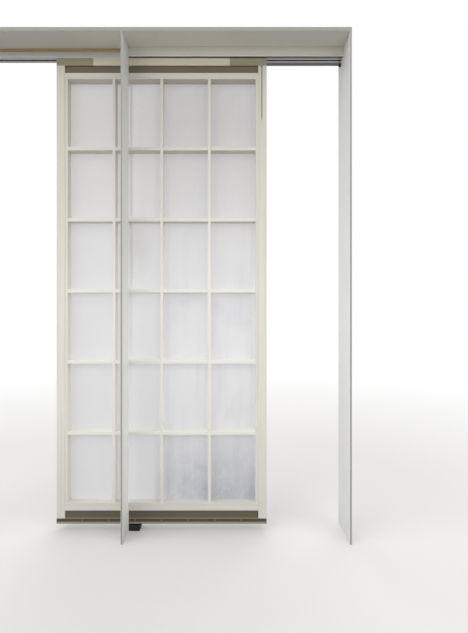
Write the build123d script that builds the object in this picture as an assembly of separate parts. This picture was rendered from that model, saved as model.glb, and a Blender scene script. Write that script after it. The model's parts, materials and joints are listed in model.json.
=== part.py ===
"""A shoji leaf that hangs from a ceiling track and slides behind the left jamb of its portal.

X runs along the track, Y away from the room side and Z up. The origin lies on the floor, at the
opening's face of the left jamb and halfway through the depth of the frame.
"""
import os

from build123d import *

# Portal frame
OPENING_WIDTH = 1236.0
POCKET_SPARE = 72.0
FRAME_DEPTH = 245.0
HEADER_THICKNESS = 20.0
JAMB_THICKNESS = 10.0
HOUSING_DEPTH = 5.0
LEFT_LIP_DEPTH = 145.0
REAR_STRIP_DEPTH = 32.0
FRONT_PELMET_SETBACK = 136.0
FRONT_PELMET_THICKNESS = 9.0
REAR_PELMET_DEPTH = 32.0
REAR_PELMET_LIFT = 8.0
PLATE_EASE = 1.0

# Track
TRACK_UNDERSIDE = 2735.0
TRACK_SETBACK = 154.5
TRACK_WIDTH = 48.0
TRACK_HEIGHT = 38.0
TRACK_WALL = 3.0
TRACK_SLOT = 11.5
TRACK_CORNER = 1.5
PACKER_THICKNESS = 17.0
STOP_LENGTH = 30.0
STOP_HEIGHT = 24.0
STOP_CORNER = 2.0
STOP_MARGIN = 0.5

# Leaf
LEAF_WIDTH = 1214.0
LEAF_THICKNESS = 60.0
LEAF_TOP_GAP = 4.0
FLOOR_GAP = 40.0
LEAF_REST_EDGE = 796.0
LEAF_OPEN_EDGE = 50.0
STILE_WIDTH = 48.0
HANGING_RAIL_HEIGHT = 43.0
UPPER_DARK_HEIGHT = 42.0
TOP_RAIL_HEIGHT = 36.0
BOTTOM_RAIL_HEIGHT = 45.0
LOWER_DARK_HEIGHT = 45.0
BASE_RAIL_HEIGHT = 19.0
WEAR_STRIP_HEIGHT = 12.0
DARK_RAIL_SETBACK = 8.0
CAP_STRIP_LENGTH = 789.0
CAP_STRIP_THICKNESS = 12.0
CAP_STRIP_STAND = 1.0
LEAF_EASE = 1.2
GROOVE_WIDTH = 8.0
GROOVE_DEPTH = 9.0
GROOVE_LENGTH = 312.0
GROOVE_FROM_EDGE = 28.0
FIN_GROOVE_DEPTH = 20.0

# Joinery
TENON_THICKNESS = 14.0
TENON_LENGTH = 30.0
TENON_SHOULDER = 6.0
STILE_TENON_LENGTH = 25.0
JOINT_CLEARANCE = 0.15

# Lattice
COLUMNS = 4
ROWS = 6
BORDER_WIDTH = 16.0
VERTICAL_MUNTIN = 17.0
HORIZONTAL_MUNTIN = 20.0
LATTICE_SETBACK = 2.0
LATTICE_DEPTH = 50.0
MUNTIN_EASE = 1.0
STUB_LENGTH = 8.0
STUB_THICKNESS = 7.0

# Sheet and the beads that hold it
SHEET_THICKNESS = 1.5
SHEET_LAP = 12.0
BEAD_WIDTH = 14.0
BEAD_EASE = 1.5
PIN_LENGTH = 14.0
PIN_DIAMETER = 1.8
PIN_HEAD = 3.6
PIN_HEAD_HEIGHT = 0.8
PIN_SPACING = 300.0

# Trolleys
TROLLEY_FROM_EDGE = 105.0
TROLLEY_LENGTH = 66.0
TROLLEY_WIDTH = 14.0
TROLLEY_HEIGHT = 18.0
TROLLEY_CORNER = 3.0
AXLE_SPACING = 44.0
AXLE_DIAMETER = 6.0
AXLE_RUNNING = 0.05
WHEEL_DIAMETER = 25.0
WHEEL_WIDTH = 10.0
WHEEL_SIDE_GAP = 1.4
WHEEL_HUB = 11.0
WHEEL_RECESS = 1.5
WHEEL_RIM = 2.5
WHEEL_EASE = 1.0
RUNNING_GAP = 0.3
BOLT_DIAMETER = 8.0
BOLT_HEAD = 13.0
BOLT_HEAD_HEIGHT = 5.3
BOLT_TAIL = 5.0
NUT_HEIGHT = 6.5
PLATE_LENGTH = 100.0
PLATE_WIDTH = 36.0
PLATE_THICKNESS = 4.0
PLATE_CORNER = 3.0
NUT_POCKET = 20.0
NUT_POCKET_DEPTH = 18.0

# Guide and buffer
GUIDE_LENGTH = 62.0
GUIDE_HEIGHT = 34.0
FIN_THICKNESS = 8.0
FIN_LENGTH = 58.0
FIN_SIDE_GAP = 0.6
FIN_TOP_GAP = 4.0
GUIDE_HOLE = 5.5
GUIDE_HOLE_PITCH_X = 32.0
GUIDE_HOLE_PITCH_Y = 44.0
BUFFER_DIAMETER = 20.0
BUFFER_LENGTH = 12.0
BUFFER_DOME = 2.5
BUFFER_WELL_SPARE = 2.0
BUFFER_WELL_PLAY = 0.5
BUFFER_DROP = 17.0
BUFFER_SETBACK = 195.0
END_POST_HOLE = 6.0
END_POST_HOLE_MARGIN = 300.0
END_POST_HOLE_PITCH = 140.0

# Fasteners: head diameter, shank diameter and length
PAN_HEAD_HEIGHT = 2.5
BUFFER_SEAT = BUFFER_LENGTH - 2 * PAN_HEAD_HEIGHT - BUFFER_WELL_SPARE
TRACK_SCREW_BITE = 14.0
BASE_SCREW_BITE = 59.0
BUFFER_SCREW_BITE = 9.0
HEADER_SCREW = (9.5, 5.0, 50.0)
TRACK_SCREW = (8.0, 4.0, TRACK_WALL + PACKER_THICKNESS + TRACK_SCREW_BITE)
PLATE_SCREW = (7.0, 3.5, 20.0)
BASE_SCREW = (9.0, 5.0, WEAR_STRIP_HEIGHT + BASE_RAIL_HEIGHT + BASE_SCREW_BITE)
BUFFER_SCREW = (8.0, 4.0, BUFFER_SEAT + BUFFER_SCREW_BITE)
STOP_SCREW_DIAMETER = 6.0
SCREW_CLEARANCE = 0.1
TRACK_SCREW_COUNT = 8
TRACK_SCREW_MARGIN = 86.0
BASE_SCREW_OFFSET = 16.0
PLATE_SCREW_PITCH_X = 80.0
PLATE_SCREW_PITCH_Y = 22.0
HEADER_SCREW_INSET = 30.0

# Places worked out from the sizes above; a pair is a low and a high end
FRONT = -FRAME_DEPTH / 2
BACK = FRAME_DEPTH / 2
POCKET_LENGTH = LEAF_WIDTH - LEAF_OPEN_EDGE + POCKET_SPARE
TRACK_TOP = TRACK_UNDERSIDE + TRACK_HEIGHT
HEADER_UNDERSIDE = TRACK_TOP + PACKER_THICKNESS
HEADER_TOP = HEADER_UNDERSIDE + HEADER_THICKNESS
PLATE_TOP = HEADER_UNDERSIDE + HOUSING_DEPTH
PORTAL_X = (-POCKET_LENGTH - JAMB_THICKNESS, OPENING_WIDTH + JAMB_THICKNESS)
OPENING_X = (0.0, OPENING_WIDTH)
LEFT_JAMB_X = (-JAMB_THICKNESS, 0.0)
RIGHT_JAMB_X = (OPENING_WIDTH, OPENING_WIDTH + JAMB_THICKNESS)
END_POST_X = (-POCKET_LENGTH - JAMB_THICKNESS, -POCKET_LENGTH)
FRAME_Y = (FRONT, BACK)
LEFT_LIP_Y = (FRONT, FRONT + LEFT_LIP_DEPTH)
REAR_STRIP_Y = (BACK - REAR_STRIP_DEPTH, BACK)
PELMET_Y0 = FRONT + FRONT_PELMET_SETBACK
FRONT_PELMET_Y = (PELMET_Y0, PELMET_Y0 + FRONT_PELMET_THICKNESS)
REAR_PELMET_Y = (BACK - REAR_PELMET_DEPTH, BACK)

TRACK_Y = (FRONT + TRACK_SETBACK, FRONT + TRACK_SETBACK + TRACK_WIDTH)
TRACK_LINE = sum(TRACK_Y) / 2
TRACK_X = (-POCKET_LENGTH, OPENING_WIDTH)
RUNWAY = TRACK_UNDERSIDE + TRACK_WALL
FRONT_LIP_Y = (TRACK_Y[0] + TRACK_WALL, TRACK_LINE - TRACK_SLOT / 2)
REAR_LIP_Y = (TRACK_LINE + TRACK_SLOT / 2, TRACK_Y[1] - TRACK_WALL)

LEAF_X = (LEAF_REST_EDGE - LEAF_WIDTH, LEAF_REST_EDGE)
LEAF_Y = (TRACK_LINE - LEAF_THICKNESS / 2, TRACK_LINE + LEAF_THICKNESS / 2)
LEAF_TOP = TRACK_UNDERSIDE - LEAF_TOP_GAP
INNER_X = (LEAF_X[0] + STILE_WIDTH, LEAF_X[1] - STILE_WIDTH)
TENON_Y = (TRACK_LINE - TENON_THICKNESS / 2, TRACK_LINE + TENON_THICKNESS / 2)
WEAR_STRIP_Z = (FLOOR_GAP, FLOOR_GAP + WEAR_STRIP_HEIGHT)
BASE_RAIL_Z = (WEAR_STRIP_Z[1], WEAR_STRIP_Z[1] + BASE_RAIL_HEIGHT)
LOWER_DARK_Z = (BASE_RAIL_Z[1], BASE_RAIL_Z[1] + LOWER_DARK_HEIGHT)
BOTTOM_RAIL_Z = (LOWER_DARK_Z[1], LOWER_DARK_Z[1] + BOTTOM_RAIL_HEIGHT)
HANGING_RAIL_Z = (LEAF_TOP - HANGING_RAIL_HEIGHT, LEAF_TOP)
UPPER_DARK_Z = (HANGING_RAIL_Z[0] - UPPER_DARK_HEIGHT, HANGING_RAIL_Z[0])
TOP_RAIL_Z = (UPPER_DARK_Z[0] - TOP_RAIL_HEIGHT, UPPER_DARK_Z[0])
STILE_Z = (BASE_RAIL_Z[1], HANGING_RAIL_Z[0])
FIELD_Z = (BOTTOM_RAIL_Z[1], TOP_RAIL_Z[0])
FIELD_X = (INNER_X[0] + BORDER_WIDTH, INNER_X[1] - BORDER_WIDTH)
DARK_Y = (LEAF_Y[0] + DARK_RAIL_SETBACK, LEAF_Y[1])
LATTICE_Y = (LEAF_Y[0] + LATTICE_SETBACK, LEAF_Y[0] + LATTICE_SETBACK + LATTICE_DEPTH)
LATTICE_MIDDLE = sum(LATTICE_Y) / 2
SHEET_Y = (LATTICE_Y[1], LATTICE_Y[1] + SHEET_THICKNESS)
BEAD_Y = (SHEET_Y[1], LEAF_Y[1])

AXLE_HEIGHT = RUNWAY + RUNNING_GAP + WHEEL_DIAMETER / 2
TROLLEY_Z = (AXLE_HEIGHT - TROLLEY_HEIGHT / 2, AXLE_HEIGHT + TROLLEY_HEIGHT / 2)
TROLLEY_PLACES = {
    "left": LEAF_X[0] + TROLLEY_FROM_EDGE,
    "right": LEAF_X[1] - TROLLEY_FROM_EDGE,
}
TROLLEY_REACH = AXLE_SPACING / 2 + WHEEL_DIAMETER / 2
HANGER_PLATE_Z = (LEAF_TOP - PLATE_THICKNESS, LEAF_TOP)
FIN_TOP = FLOOR_GAP + FIN_GROOVE_DEPTH - FIN_TOP_GAP
LEAF_CLOSED_EDGE = OPENING_WIDTH - BUFFER_LENGTH - STOP_MARGIN


def middle(span):
    return (span[0] + span[1]) / 2


def length(span):
    return span[1] - span[0]


def grown(span, by):
    """The span with both ends moved outwards, or inwards where the amount is negative."""
    return (span[0] - by, span[1] + by)


def spread(first, last, count):
    """Evenly spaced places from the first to the last."""
    return [first + (last - first) * k / (count - 1) for k in range(count)]


def upright(x, y, z, ease=0.0):
    """A bar that stands up, with its two front arrises eased."""
    outline = Pos(middle(x), middle(y)) * Rectangle(length(x), length(y))
    if ease:
        outline = chamfer(outline.vertices().group_by(Axis.Y)[0], ease)
    return Pos(0, 0, z[0]) * extrude(outline, length(z))


def crossbar(x, y, z, ease=0.0):
    """A bar that lies along X, with its two front arrises eased."""
    outline = Pos(middle(y), middle(z)) * Rectangle(length(y), length(z))
    if ease:
        outline = chamfer(outline.vertices().group_by(Axis.X)[0], ease)
    return extrude(Plane.YZ.offset(x[0]) * outline, length(x))


def round_bar(radius, height):
    """A cylinder that stands on the origin."""
    return extrude(Circle(radius), height)


def countersunk_screw(screw, play=0.0):
    """A screw that hangs down from its flush head at the origin; play makes its hole."""
    head, shank, reach = screw
    slope = (head - shank) / 2
    outline = Polyline(
        (0, 0),
        (head / 2 + play, 0),
        (shank / 2 + play, -slope),
        (shank / 2 + play, -reach - play),
        (0, -reach - play),
        close=True,
    )
    return revolve(Plane.XZ * make_face(outline), Axis.Z)


def pan_screw(screw, play=0.0):
    """A screw that hangs down from a low domed head standing on the origin."""
    head, shank, reach = screw
    profile = Polyline(
        (0, PAN_HEAD_HEIGHT),
        (head / 2 - PAN_HEAD_HEIGHT / 2, PAN_HEAD_HEIGHT),
        (head / 2, PAN_HEAD_HEIGHT / 2),
        (head / 2, 0),
        (shank / 2 + play, 0),
        (shank / 2 + play, -reach - play),
        (0, -reach - play),
        close=True,
    )
    return revolve(Plane.XZ * make_face(profile), Axis.Z)


def header_plate():
    """The plate over opening and pocket, with housings for everything that stands under it."""
    plate = crossbar(PORTAL_X, FRAME_Y, (HEADER_UNDERSIDE, HEADER_TOP), PLATE_EASE)
    housed = (HEADER_UNDERSIDE - 1, PLATE_TOP + JOINT_CLEARANCE)
    for x, y in (
        (RIGHT_JAMB_X, FRAME_Y),
        (LEFT_JAMB_X, LEFT_LIP_Y),
        (LEFT_JAMB_X, REAR_STRIP_Y),
        (END_POST_X, FRAME_Y),
        (OPENING_X, FRONT_PELMET_Y),
        (OPENING_X, REAR_PELMET_Y),
    ):
        plate -= upright(x, y, housed)
    for place in header_screw_places():
        plate -= place * countersunk_screw(HEADER_SCREW, SCREW_CLEARANCE)
    for place in track_screw_places():
        plate -= place * pan_screw(TRACK_SCREW, SCREW_CLEARANCE)
    return plate


def header_screw_places():
    ends = (FRONT + HEADER_SCREW_INSET, BACK - HEADER_SCREW_INSET)
    lip_ends = (LEFT_LIP_Y[0] + HEADER_SCREW_INSET, LEFT_LIP_Y[1] - HEADER_SCREW_INSET)
    posts = (
        (END_POST_X, ends),
        (RIGHT_JAMB_X, ends),
        (LEFT_JAMB_X, lip_ends),
        (LEFT_JAMB_X, (middle(REAR_STRIP_Y),)),
    )
    return [Pos(middle(x), y, HEADER_TOP) for x, depths in posts for y in depths]


def standing_plate(x, y):
    """A jamb or post from the floor into its housing, drilled for the header screws."""
    plate = upright(x, y, (0.0, PLATE_TOP), PLATE_EASE)
    for place in header_screw_places():
        at = place.position
        if x[0] < at.X < x[1] and y[0] < at.Y < y[1]:
            plate -= place * countersunk_screw(HEADER_SCREW, SCREW_CLEARANCE)
    return plate


def right_jamb():
    return standing_plate(RIGHT_JAMB_X, FRAME_Y) - buffer_place() * buffer_screw(SCREW_CLEARANCE)


def pocket_end_post():
    """The far post, with four holes where it is fixed to a building."""
    post = standing_plate(END_POST_X, FRAME_Y)
    drill = Rot(0, 90, 0) * round_bar(END_POST_HOLE / 2, 3 * JAMB_THICKNESS)
    for z in (END_POST_HOLE_MARGIN, HEADER_UNDERSIDE - END_POST_HOLE_MARGIN):
        for y in (-END_POST_HOLE_PITCH / 2, END_POST_HOLE_PITCH / 2):
            post -= Pos(END_POST_X[0] - JAMB_THICKNESS, y, z) * drill
    return post


def front_pelmet():
    return crossbar(OPENING_X, FRONT_PELMET_Y, (TRACK_UNDERSIDE, PLATE_TOP), PLATE_EASE)


def rear_pelmet():
    low = TRACK_UNDERSIDE + REAR_PELMET_LIFT
    return crossbar(OPENING_X, REAR_PELMET_Y, (low, PLATE_TOP))


def track_packer():
    packer = crossbar(TRACK_X, TRACK_Y, (TRACK_TOP, HEADER_UNDERSIDE))
    for place in track_screw_places():
        packer -= place * pan_screw(TRACK_SCREW, SCREW_CLEARANCE)
    return packer


def track_wall(outer_y):
    """A side wall of the track; its two outer corners are rounded."""
    inner_y = outer_y + (TRACK_WALL if outer_y < TRACK_LINE else -TRACK_WALL)
    span = (min(outer_y, inner_y), max(outer_y, inner_y))
    outline = Rectangle(length(span), TRACK_HEIGHT)
    outline = Pos(middle(span), TRACK_UNDERSIDE + TRACK_HEIGHT / 2) * outline
    outer = outline.vertices().group_by(Axis.X)[0 if outer_y < TRACK_LINE else -1]
    return extrude(Plane.YZ.offset(TRACK_X[0]) * fillet(outer, TRACK_CORNER), length(TRACK_X))


def track_web():
    """The top of the track between its walls, drilled for the fixing screws."""
    web = crossbar(TRACK_X, grown(TRACK_Y, -TRACK_WALL), (TRACK_TOP - TRACK_WALL, TRACK_TOP))
    for place in track_screw_places():
        web -= place * pan_screw(TRACK_SCREW, SCREW_CLEARANCE)
    return web


def track_lip(y):
    """A lip that the wheels on one side run on; the slot lies between the two lips."""
    return crossbar(TRACK_X, y, (TRACK_UNDERSIDE, RUNWAY))


def track_screw_places():
    """The screws point up from inside the track into the packer and the header."""
    row = spread(TRACK_X[0] + TRACK_SCREW_MARGIN, TRACK_X[1] - TRACK_SCREW_MARGIN, TRACK_SCREW_COUNT)
    flip = Rot(180, 0, 0)
    return [Pos(x, TRACK_LINE, TRACK_TOP - TRACK_WALL) * flip for x in row]


def stop_places():
    """The ends of travel: the stop's centre clears the wheels of the trolley that meets it."""
    clear = TROLLEY_REACH + STOP_MARGIN + STOP_LENGTH / 2
    opened = LEAF_OPEN_EDGE - LEAF_WIDTH + TROLLEY_FROM_EDGE - clear
    closed = LEAF_CLOSED_EDGE - TROLLEY_FROM_EDGE + clear
    return (opened, closed)


def track_stop(x):
    """A block on the track's lips with an edge profile that fits between its walls."""
    width = TRACK_WIDTH - 2 * TRACK_WALL - 2 * RUNNING_GAP
    outline = Pos(TRACK_LINE, RUNWAY + STOP_HEIGHT / 2) * RectangleRounded(width, STOP_HEIGHT, STOP_CORNER)
    block = extrude(Plane.YZ.offset(x - STOP_LENGTH / 2) * outline, STOP_LENGTH)
    return block - stop_screw(x, SCREW_CLEARANCE)


def stop_screw(x, play=0.0):
    """A grub screw through the stop that bears on the top wall of the track."""
    top = TRACK_TOP - TRACK_WALL
    low = TRACK_UNDERSIDE + TRACK_WALL / 2
    return Pos(x, TRACK_LINE, low) * round_bar(STOP_SCREW_DIAMETER / 2 + play, top - low)


def buffer_place():
    """Origin of the buffer: on the face of the right jamb, pointing into the opening."""
    return Pos(OPENING_WIDTH, FRONT + BUFFER_SETBACK, TRACK_UNDERSIDE - BUFFER_DROP) * Rot(0, -90, 0)


def buffer_screw(play=0.0):
    """The screw sits in a well inside the rubber, so it never touches the leaf."""
    return Pos(0, 0, BUFFER_SEAT) * pan_screw(BUFFER_SCREW, play)


def jamb_buffer():
    """A round rubber stop with a domed edge and a well for its screw."""
    radius = BUFFER_DIAMETER / 2
    well = BUFFER_SCREW[0] / 2 + BUFFER_WELL_PLAY
    bore = BUFFER_SCREW[1] / 2 + SCREW_CLEARANCE
    profile = Polyline(
        (bore, 0),
        (radius, 0),
        (radius, BUFFER_LENGTH - BUFFER_DOME),
        (radius - BUFFER_DOME, BUFFER_LENGTH),
        (well, BUFFER_LENGTH),
        (well, BUFFER_SEAT),
        (bore, BUFFER_SEAT),
        close=True,
    )
    return buffer_place() * revolve(Plane.XZ * make_face(profile), Axis.Z)


def floor_guide():
    """A block that bridges lip and rear strip at the floor, with a rounded fin for the leaf."""
    base_x = (LEFT_JAMB_X[0], GUIDE_LENGTH)
    base = upright(base_x, (LEFT_LIP_Y[1], REAR_STRIP_Y[0]), (0.0, GUIDE_HEIGHT))
    fin = SlotOverall(FIN_LENGTH, FIN_THICKNESS)
    centre_x = FIN_LENGTH / 2
    guide = base + Pos(centre_x, TRACK_LINE, 0) * extrude(fin, FIN_TOP)
    middle_y = (LEFT_LIP_Y[1] + REAR_STRIP_Y[0]) / 2
    for dx in (-GUIDE_HOLE_PITCH_X / 2, GUIDE_HOLE_PITCH_X / 2):
        for dy in (-GUIDE_HOLE_PITCH_Y / 2, GUIDE_HOLE_PITCH_Y / 2):
            guide -= Pos(centre_x + dx, middle_y + dy, -1) * round_bar(GUIDE_HOLE / 2, FIN_TOP)
    return guide


def rail(y, z, ease=0.0):
    """A rail between the stiles with a tenon at each end."""
    tongue = crossbar(grown(INNER_X, TENON_LENGTH), TENON_Y, grown(z, -TENON_SHOULDER))
    return crossbar(INNER_X, y, z, ease) + tongue


def rail_mortises():
    """The room that all four rails' tenons need in the stiles."""
    x = grown(INNER_X, TENON_LENGTH + JOINT_CLEARANCE)
    y = grown(TENON_Y, JOINT_CLEARANCE)
    spans = (UPPER_DARK_Z, TOP_RAIL_Z, BOTTOM_RAIL_Z, LOWER_DARK_Z)
    return [crossbar(x, y, grown(z, JOINT_CLEARANCE - TENON_SHOULDER)) for z in spans]


def sheet_rebate():
    """The step around the back of the field that takes the sheet's edge and the beads."""
    x = grown(INNER_X, BEAD_WIDTH)
    z = grown(FIELD_Z, BEAD_WIDTH)
    return crossbar(x, (LATTICE_Y[1], LEAF_Y[1] + 1), z)


def stile(x):
    """A stile with a top tenon for the hanging rail and mortises for the four rails."""
    post = upright(x, LEAF_Y, STILE_Z, LEAF_EASE)
    tenon_z = (STILE_Z[1], STILE_Z[1] + STILE_TENON_LENGTH)
    post += upright(grown(x, -TENON_SHOULDER), TENON_Y, tenon_z)
    for mortise in rail_mortises():
        post -= mortise
    post -= sheet_rebate()
    for place in base_screw_places():
        if x[0] < place.position.X < x[1]:
            post -= place * countersunk_screw(BASE_SCREW, SCREW_CLEARANCE)
    return pinned(post)


def left_stile():
    return stile((LEAF_X[0], INNER_X[0]))


def right_stile():
    """The stile that leads, with the long round-ended groove in its face."""
    post = stile((INNER_X[1], LEAF_X[1]))
    centre = LEAF_X[1] - GROOVE_FROM_EDGE
    low = STILE_Z[1] - GROOVE_LENGTH + GROOVE_WIDTH / 2
    groove = Pos(centre, (low + STILE_Z[1] + 1) / 2) * Rectangle(GROOVE_WIDTH, STILE_Z[1] + 1 - low)
    groove += Pos(centre, low) * Circle(GROOVE_WIDTH / 2)
    return post - extrude(Plane.XZ.offset(-LEAF_Y[0] + 1) * groove, -GROOVE_DEPTH - 1)


def hanging_rail():
    """The top member, mortised for the stiles and recessed for strip and hangers."""
    bar = crossbar(LEAF_X, LEAF_Y, HANGING_RAIL_Z, LEAF_EASE)
    for x in ((LEAF_X[0], INNER_X[0]), (INNER_X[1], LEAF_X[1])):
        mouth = grown(grown(x, -TENON_SHOULDER), JOINT_CLEARANCE)
        top = STILE_Z[1] + STILE_TENON_LENGTH + JOINT_CLEARANCE
        bar -= upright(mouth, grown(TENON_Y, JOINT_CLEARANCE), (STILE_Z[1] - 1, top))
    strip_y = (LEAF_Y[0] - 1, LEAF_Y[0] - CAP_STRIP_STAND + CAP_STRIP_THICKNESS)
    bar -= crossbar(cap_strip_x(), strip_y, grown(HANGING_RAIL_Z, 1))
    for x in TROLLEY_PLACES.values():
        bar -= hanger_recess(x)
    return bar


def cap_strip_x():
    return grown((middle(LEAF_X), middle(LEAF_X)), CAP_STRIP_LENGTH / 2)


def cap_strip():
    y0 = LEAF_Y[0] - CAP_STRIP_STAND
    return crossbar(cap_strip_x(), (y0, y0 + CAP_STRIP_THICKNESS), HANGING_RAIL_Z, MUNTIN_EASE)


def hanger_recess(x):
    """The seat of a hanger plate, the nut's well under it and the holes of its screws."""
    seat_x = grown((x, x), PLATE_LENGTH / 2 + JOINT_CLEARANCE)
    seat_y = grown((TRACK_LINE, TRACK_LINE), PLATE_WIDTH / 2 + JOINT_CLEARANCE)
    recess = upright(seat_x, seat_y, (HANGER_PLATE_Z[0], LEAF_TOP + 1))
    well_z = HANGER_PLATE_Z[0] - NUT_POCKET_DEPTH
    recess += Pos(x, TRACK_LINE, well_z) * round_bar(NUT_POCKET / 2, NUT_POCKET_DEPTH)
    for place in plate_screw_places(x):
        recess += place * countersunk_screw(PLATE_SCREW, SCREW_CLEARANCE)
    return recess


def plate_screw_places(x):
    return [
        Pos(x + dx, TRACK_LINE + dy, LEAF_TOP)
        for dx in (-PLATE_SCREW_PITCH_X / 2, PLATE_SCREW_PITCH_X / 2)
        for dy in (-PLATE_SCREW_PITCH_Y / 2, PLATE_SCREW_PITCH_Y / 2)
    ]


def field_rail(z):
    """A rail that borders the field: rebated for the sheet and mortised for the muntins."""
    return pinned(rail(LEAF_Y, z, LEAF_EASE) - sheet_rebate() - field_mortises())


def fin_groove():
    """The groove under the leaf that the guide's fin runs in, open at both ends."""
    y = grown((TRACK_LINE, TRACK_LINE), FIN_THICKNESS / 2 + FIN_SIDE_GAP)
    return crossbar(grown(LEAF_X, 1), y, (FLOOR_GAP - 1, FLOOR_GAP + FIN_GROOVE_DEPTH))


def base_screw_places():
    """The screws point up through the base rail into the ends of the stiles."""
    flip = Rot(180, 0, 0)
    return [
        Pos(x, TRACK_LINE + dy, FLOOR_GAP) * flip
        for x in (LEAF_X[0] + STILE_WIDTH / 2, LEAF_X[1] - STILE_WIDTH / 2)
        for dy in (-BASE_SCREW_OFFSET, BASE_SCREW_OFFSET)
    ]


def base_bar(y, z, ease=0.0):
    """A bar of the leaf's foot, cut by the groove and drilled for the base screws."""
    bar = crossbar(LEAF_X, y, z, ease) - fin_groove()
    for place in base_screw_places():
        if y[0] < place.position.Y < y[1]:
            bar -= place * countersunk_screw(BASE_SCREW, SCREW_CLEARANCE)
    return bar


def vertical_centres():
    clear = (length(FIELD_X) - (COLUMNS - 1) * VERTICAL_MUNTIN) / COLUMNS
    pitch = clear + VERTICAL_MUNTIN
    return [FIELD_X[0] + pitch * k - VERTICAL_MUNTIN / 2 for k in range(1, COLUMNS)]


def horizontal_centres():
    clear = (length(FIELD_Z) - (ROWS - 1) * HORIZONTAL_MUNTIN) / ROWS
    pitch = clear + HORIZONTAL_MUNTIN
    return [FIELD_Z[0] + pitch * k - HORIZONTAL_MUNTIN / 2 for k in range(1, ROWS)]


def around(centre, width):
    return (centre - width / 2, centre + width / 2)


def vertical_stub(x, play=0.0):
    """The stub tenon that runs out of both ends of an upright muntin."""
    across = grown(around(x, VERTICAL_MUNTIN), play - STUB_THICKNESS / 2)
    deep = grown(LATTICE_Y, play - STUB_THICKNESS)
    return upright(across, deep, grown(FIELD_Z, STUB_LENGTH + play))


def horizontal_stub(z, play=0.0):
    """The stub tenon that runs out of both ends of a level muntin."""
    across = grown(around(z, HORIZONTAL_MUNTIN), play - STUB_THICKNESS / 2)
    deep = grown(LATTICE_Y, play - STUB_THICKNESS)
    return crossbar(grown(FIELD_X, STUB_LENGTH + play), deep, across)


def field_mortises():
    """The mortises of top and bottom rail for the upright muntins."""
    return [vertical_stub(x, JOINT_CLEARANCE) for x in vertical_centres()]


def border(x):
    """A half-width upright against a stile, mortised for the level muntins."""
    bar = upright(x, LATTICE_Y, FIELD_Z, MUNTIN_EASE)
    for z in horizontal_centres():
        bar -= horizontal_stub(z, JOINT_CLEARANCE)
    return bar


def vertical_muntin(x):
    """An upright muntin, halved from behind where each level muntin crosses it."""
    bar = upright(around(x, VERTICAL_MUNTIN), LATTICE_Y, FIELD_Z, MUNTIN_EASE) + vertical_stub(x)
    lap = (LATTICE_MIDDLE - JOINT_CLEARANCE / 2, LATTICE_Y[1] + 1)
    for z in horizontal_centres():
        mouth = grown(around(z, HORIZONTAL_MUNTIN), JOINT_CLEARANCE)
        bar -= crossbar(around(x, 2 * VERTICAL_MUNTIN), lap, mouth)
    return bar


def horizontal_muntin(z):
    """A level muntin, halved from the front where each upright muntin crosses it."""
    bar = crossbar(FIELD_X, LATTICE_Y, around(z, HORIZONTAL_MUNTIN), MUNTIN_EASE) + horizontal_stub(z)
    lap = (LATTICE_Y[0] - 1, LATTICE_MIDDLE + JOINT_CLEARANCE / 2)
    for x in vertical_centres():
        mouth = grown(around(x, VERTICAL_MUNTIN), JOINT_CLEARANCE)
        bar -= upright(mouth, lap, around(z, 2 * HORIZONTAL_MUNTIN))
    return bar


def translucent_sheet():
    return pinned(crossbar(grown(INNER_X, SHEET_LAP), SHEET_Y, grown(FIELD_Z, SHEET_LAP)))


def bead(side):
    """One mitred bead of the frame that holds the sheet; side picks it out of the ring."""
    outer_x, outer_z = grown(INNER_X, BEAD_WIDTH), grown(FIELD_Z, BEAD_WIDTH)
    corners = {
        "left": (0, 3),
        "right": (1, 2),
        "bottom": (0, 1),
        "top": (3, 2),
    }[side]
    inner = [(INNER_X[i], FIELD_Z[k]) for i, k in ((0, 0), (1, 0), (1, 1), (0, 1))]
    outer = [(outer_x[i], outer_z[k]) for i, k in ((0, 0), (1, 0), (1, 1), (0, 1))]
    first, second = corners
    outline = Polyline(inner[first], inner[second], outer[second], outer[first], close=True)
    solid = extrude(Plane.XZ.offset(-BEAD_Y[1]) * make_face(outline), length(BEAD_Y))
    inner_edges = solid.edges().filter_by(GeomType.LINE).group_by(Axis.Y)[-1]
    wanted = Axis.Z if side in ("left", "right") else Axis.X
    order = Axis.X if side in ("left", "right") else Axis.Z
    inwards = -1 if side in ("left", "bottom") else 0
    arris = inner_edges.filter_by(wanted).sort_by(order)[inwards]
    return pinned(chamfer(arris, BEAD_EASE))


def pinned(solid):
    """The piece with a hole for each bead pin that lies within its outline."""
    box = solid.bounding_box()
    for place in bead_pin_places():
        at = place.position
        if box.min.X < at.X < box.max.X and box.min.Z < at.Z < box.max.Z:
            solid -= place * bead_pin(SCREW_CLEARANCE)
    return solid


def pin_row(span):
    low, high = grown(span, -BEAD_WIDTH)
    return spread(low, high, max(2, round(length(span) / PIN_SPACING)))


def bead_pin_places():
    """Pins point forwards through the beads, an even number of steps apart on each side."""
    middle_x = (INNER_X[0] - BEAD_WIDTH / 2, INNER_X[1] + BEAD_WIDTH / 2)
    middle_z = (FIELD_Z[0] - BEAD_WIDTH / 2, FIELD_Z[1] + BEAD_WIDTH / 2)
    across = pin_row(INNER_X)
    along = pin_row(FIELD_Z)
    spots = [(x, z) for x in middle_x for z in along] + [(x, z) for x in across for z in middle_z]
    return [Pos(x, BEAD_Y[1], z) * Rot(-90, 0, 0) for x, z in spots]


def bead_pin(play=0.0):
    """A pin that hangs down from its flush head at the origin; play makes its hole."""
    profile = Polyline(
        (0, 0),
        (PIN_HEAD / 2 + play, 0),
        (PIN_HEAD / 2 + play, -PIN_HEAD_HEIGHT - play),
        (PIN_DIAMETER / 2 + play, -PIN_HEAD_HEIGHT - play),
        (PIN_DIAMETER / 2 + play, -PIN_LENGTH - play),
        (0, -PIN_LENGTH - play),
        close=True,
    )
    return revolve(Plane.XZ * make_face(profile), Axis.Z)


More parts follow.
